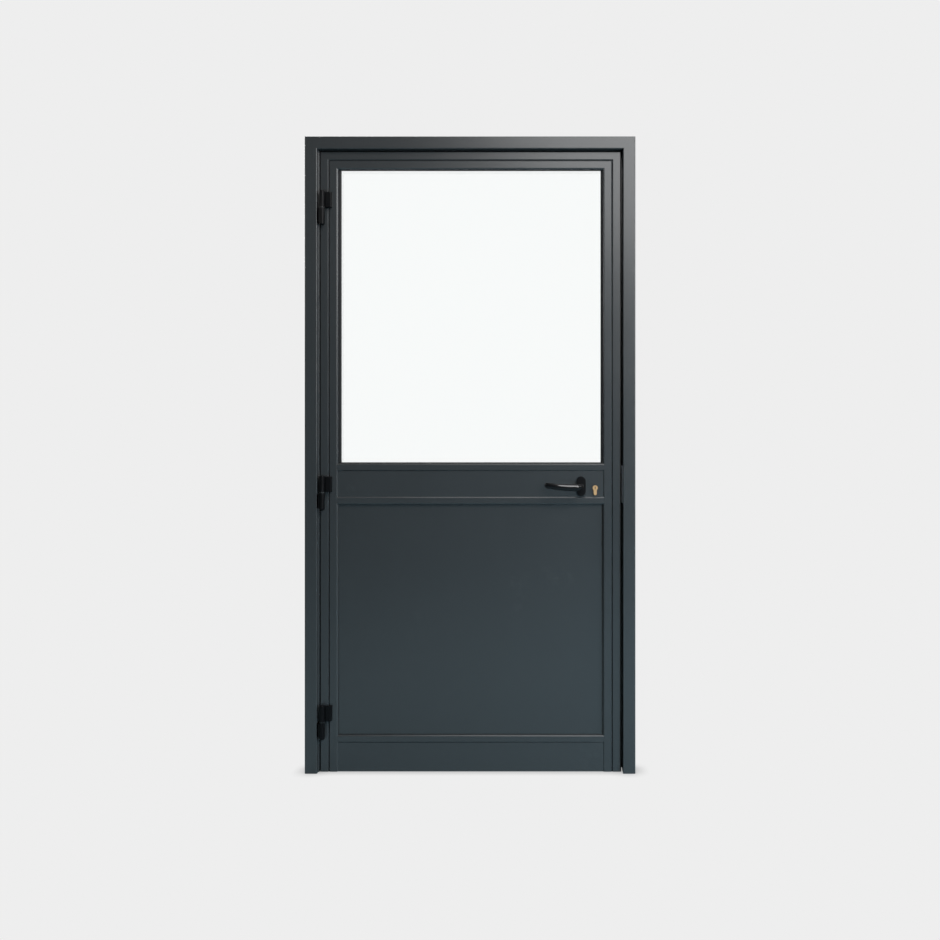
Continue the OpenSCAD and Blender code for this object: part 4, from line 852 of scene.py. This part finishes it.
class DOOR_OT_stage(bpy.types.Operator):
    """Pale floor and backdrop, soft light and the camera."""

    bl_idname = "door.stage"
    bl_label = "Stage"

    def execute(self, context):
        stage = context.scene.door_stage
        self.camera(context, stage)
        self.world(context, stage)
        floor = self.floor(stage)
        panes = [frame["nodes"][name] for name in ("front_pane", "back_pane")]
        levers = [bpy.data.objects[name] for name in ("lever_front", "lever_back")]
        handles = levers + [bpy.data.objects[name] for name in ("rose_front", "rose_back")]
        for name, place, aim, size, power, colour, gloss in LAMPS:
            lamp = self.lamp(name, place, aim, size, power, colour, gloss)
            self.link(lamp, panes if gloss else [*panes, floor], "EXCLUDE")
            if not gloss:
                lamp.light_linking.blocker_collection = self.group("unshaded", handles, "EXCLUDE")
        _, place, aim, size, _, colour, _ = LAMPS[0]
        glint = self.lamp("glint", np.add(place, GLINT_SHIFT), aim, size, GLINT_POWER, colour, True)
        self.link(glint, levers, "INCLUDE")
        context.scene.view_settings.view_transform = "Standard"
        return {"FINISHED"}

    def camera(self, context, stage):
        """Level camera whose lens shift sets the picture's middle."""
        data = bpy.data.cameras.new("camera")
        camera = bpy.data.objects.new("camera", data)
        context.scene.collection.objects.link(camera)
        camera.location = stage.eye
        camera.rotation_euler = (math.pi / 2, 0, 0)
        distance = FRAME_FRONT * MM - stage.eye[1]
        data.sensor_width = SENSOR_W
        data.lens = data.sensor_width * distance / stage.span
        data.shift_x = -stage.eye[0] / stage.span
        data.shift_y = (stage.middle - stage.eye[2]) / stage.span
        data.clip_end = CLIP_END
        context.scene.camera = camera

    def world(self, context, stage):
        """Pale for the camera and for gloss that looks to the far side, white through the panes, dim otherwise."""
        world = bpy.data.worlds.new("studio")
        context.scene.world = world
        world.use_nodes = True
        tree = world.node_tree
        tree.nodes.clear()
        path = tree.nodes.new("ShaderNodeLightPath")
        light, pale, behind = (tree.nodes.new("ShaderNodeBackground") for _ in range(3))
        light.inputs["Color"].default_value = rgba(STUDIO)
        pale.inputs["Color"].default_value = grey(stage.backdrop)
        behind.inputs["Color"].default_value = grey(1.0)
        first, second = tree.nodes.new("ShaderNodeMixShader"), tree.nodes.new("ShaderNodeMixShader")
        out = tree.nodes.new("ShaderNodeOutputWorld")
        way = tree.nodes.new("ShaderNodeTexCoord")
        far = far_side(tree, way.outputs["Generated"])
        seen = reckon(tree, "MULTIPLY_ADD", far, path.outputs["Is Glossy Ray"], path.outputs["Is Camera Ray"])
        tree.links.new(seen, first.inputs[0])
        tree.links.new(light.outputs[0], first.inputs[1])
        tree.links.new(pale.outputs[0], first.inputs[2])
        tree.links.new(path.outputs["Is Transmission Ray"], second.inputs[0])
        tree.links.new(first.outputs[0], second.inputs[1])
        tree.links.new(behind.outputs[0], second.inputs[2])
        tree.links.new(second.outputs[0], out.inputs["Surface"])

    def floor(self, stage):
        """Floor that glows like the backdrop, with a soft shadow at the door's foot; other rays meet a cloth."""
        half = FLOOR_HALF
        mesh = bpy.data.meshes.new("floor")
        mesh.from_pydata([(-half, -half, 0), (half, -half, 0), (half, half, 0), (-half, half, 0)], [], [(0, 1, 2, 3)])
        floor = bpy.data.objects.new("floor", mesh)
        bpy.context.scene.collection.objects.link(floor)
        material = bpy.data.materials.new("pale floor")
        material.use_nodes = True
        tree = material.node_tree
        tree.nodes.clear()
        out = tree.nodes.new("ShaderNodeOutputMaterial")
        path, mix = tree.nodes.new("ShaderNodeLightPath"), tree.nodes.new("ShaderNodeMixShader")
        camera, gloss, through = (path.outputs[f"Is {kind} Ray"] for kind in ("Camera", "Glossy", "Transmission"))
        cloth, glow = tree.nodes.new("ShaderNodeBsdfDiffuse"), tree.nodes.new("ShaderNodeEmission")
        cloth.inputs["Color"].default_value = rgba(CLOTH)
        shadow = tree.nodes.new("ShaderNodeAmbientOcclusion")
        shadow.inputs["Distance"].default_value = SHADOW_REACH
        soft = reckon(tree, "MULTIPLY_ADD", shadow.outputs["AO"], stage.shadow, 1 - stage.shadow)
        place = tree.nodes.new("ShaderNodeTexCoord")
        far = far_side(tree, place.outputs["Object"])
        tree.links.new(soft, glow.inputs["Strength"])
        tone = tree.nodes.new("ShaderNodeMix")
        tone.data_type = "RGBA"
        tone.inputs["A"].default_value = grey(stage.backdrop)
        tone.inputs["B"].default_value = grey(1.0)
        tree.links.new(through, tone.inputs["Factor"])
        tree.links.new(tone.outputs["Result"], glow.inputs["Color"])
        seen = reckon(tree, "MAXIMUM", reckon(tree, "MULTIPLY_ADD", far, gloss, camera), through)
        tree.links.new(seen, mix.inputs[0])
        tree.links.new(cloth.outputs[0], mix.inputs[1])
        tree.links.new(glow.outputs[0], mix.inputs[2])
        tree.links.new(mix.outputs[0], out.inputs["Surface"])
        mesh.materials.append(material)
        return floor

    def link(self, lamp, pieces, state):
        """Keeps a lamp off some pieces, or gives it to them alone."""
        lamp.light_linking.receiver_collection = self.group(f"{lamp.name} pieces", pieces, state)

    def group(self, name, pieces, state):
        """Collection that a lamp leaves out or keeps to."""
        group = bpy.data.collections.new(name)
        for piece in pieces:
            group.objects.link(piece)
        for row in group.collection_objects:
            row.light_linking.link_state = state
        return group

    def lamp(self, name, place, aim, size, power, colour, gloss):
        """Round soft lamp turned to its aim."""
        data = bpy.data.lights.new(name, "AREA")
        data.shape, data.size, data.energy, data.color = "DISK", size, power, colour
        lamp = bpy.data.objects.new(name, data)
        bpy.context.scene.collection.objects.link(lamp)
        lamp.location = place
        ahead = np.array(aim) - np.array(place)
        lamp.rotation_euler = (
            math.atan2(np.hypot(ahead[0], ahead[1]), -ahead[2]), 0, math.atan2(ahead[1], ahead[0]) - math.pi / 2)
        lamp.visible_glossy, lamp.visible_transmission = gloss, False
        return lamp


# Panel


class DOOR_PT_panel(bpy.types.Panel):
    """Buttons and settings of the door in the 3D view's sidebar."""

    bl_idname = "DOOR_PT_panel"
    bl_label = "Half-glazed door"
    bl_space_type = "VIEW_3D"
    bl_region_type = "UI"
    bl_category = "Door"

    def draw(self, context):
        for settings in (context.scene.door_finish, context.scene.door_form, context.scene.door_stage):
            box = self.layout.box()
            for name in settings.__annotations__:
                box.prop(settings, name)
        for operator in OPERATORS:
            self.layout.operator(operator.bl_idname)


SETTINGS = {"door_finish": DoorFinish, "door_form": DoorForm, "door_stage": DoorStage}
OPERATORS = (
    DOOR_OT_finishes, DOOR_OT_frame_bars, DOOR_OT_leaf_bars, DOOR_OT_glazing, DOOR_OT_hinges, DOOR_OT_levers,
    DOOR_OT_stage,
)


def register():
    for cls in (*SETTINGS.values(), *OPERATORS, DOOR_PT_panel):
        bpy.utils.register_class(cls)
    for name, cls in SETTINGS.items():
        setattr(bpy.types.Scene, name, bpy.props.PointerProperty(type=cls))


def unregister():
    for name in SETTINGS:
        delattr(bpy.types.Scene, name)
    for cls in reversed((*SETTINGS.values(), *OPERATORS, DOOR_PT_panel)):
        bpy.utils.unregister_class(cls)


def main():
    register()
    bpy.ops.door.finishes()
    bpy.ops.door.frame_bars()
    bpy.ops.door.leaf_bars()
    bpy.ops.door.glazing()
    bpy.ops.door.hinges()
    bpy.ops.door.levers()
    bpy.ops.door.stage()


if __name__ == "__main__":
    main()
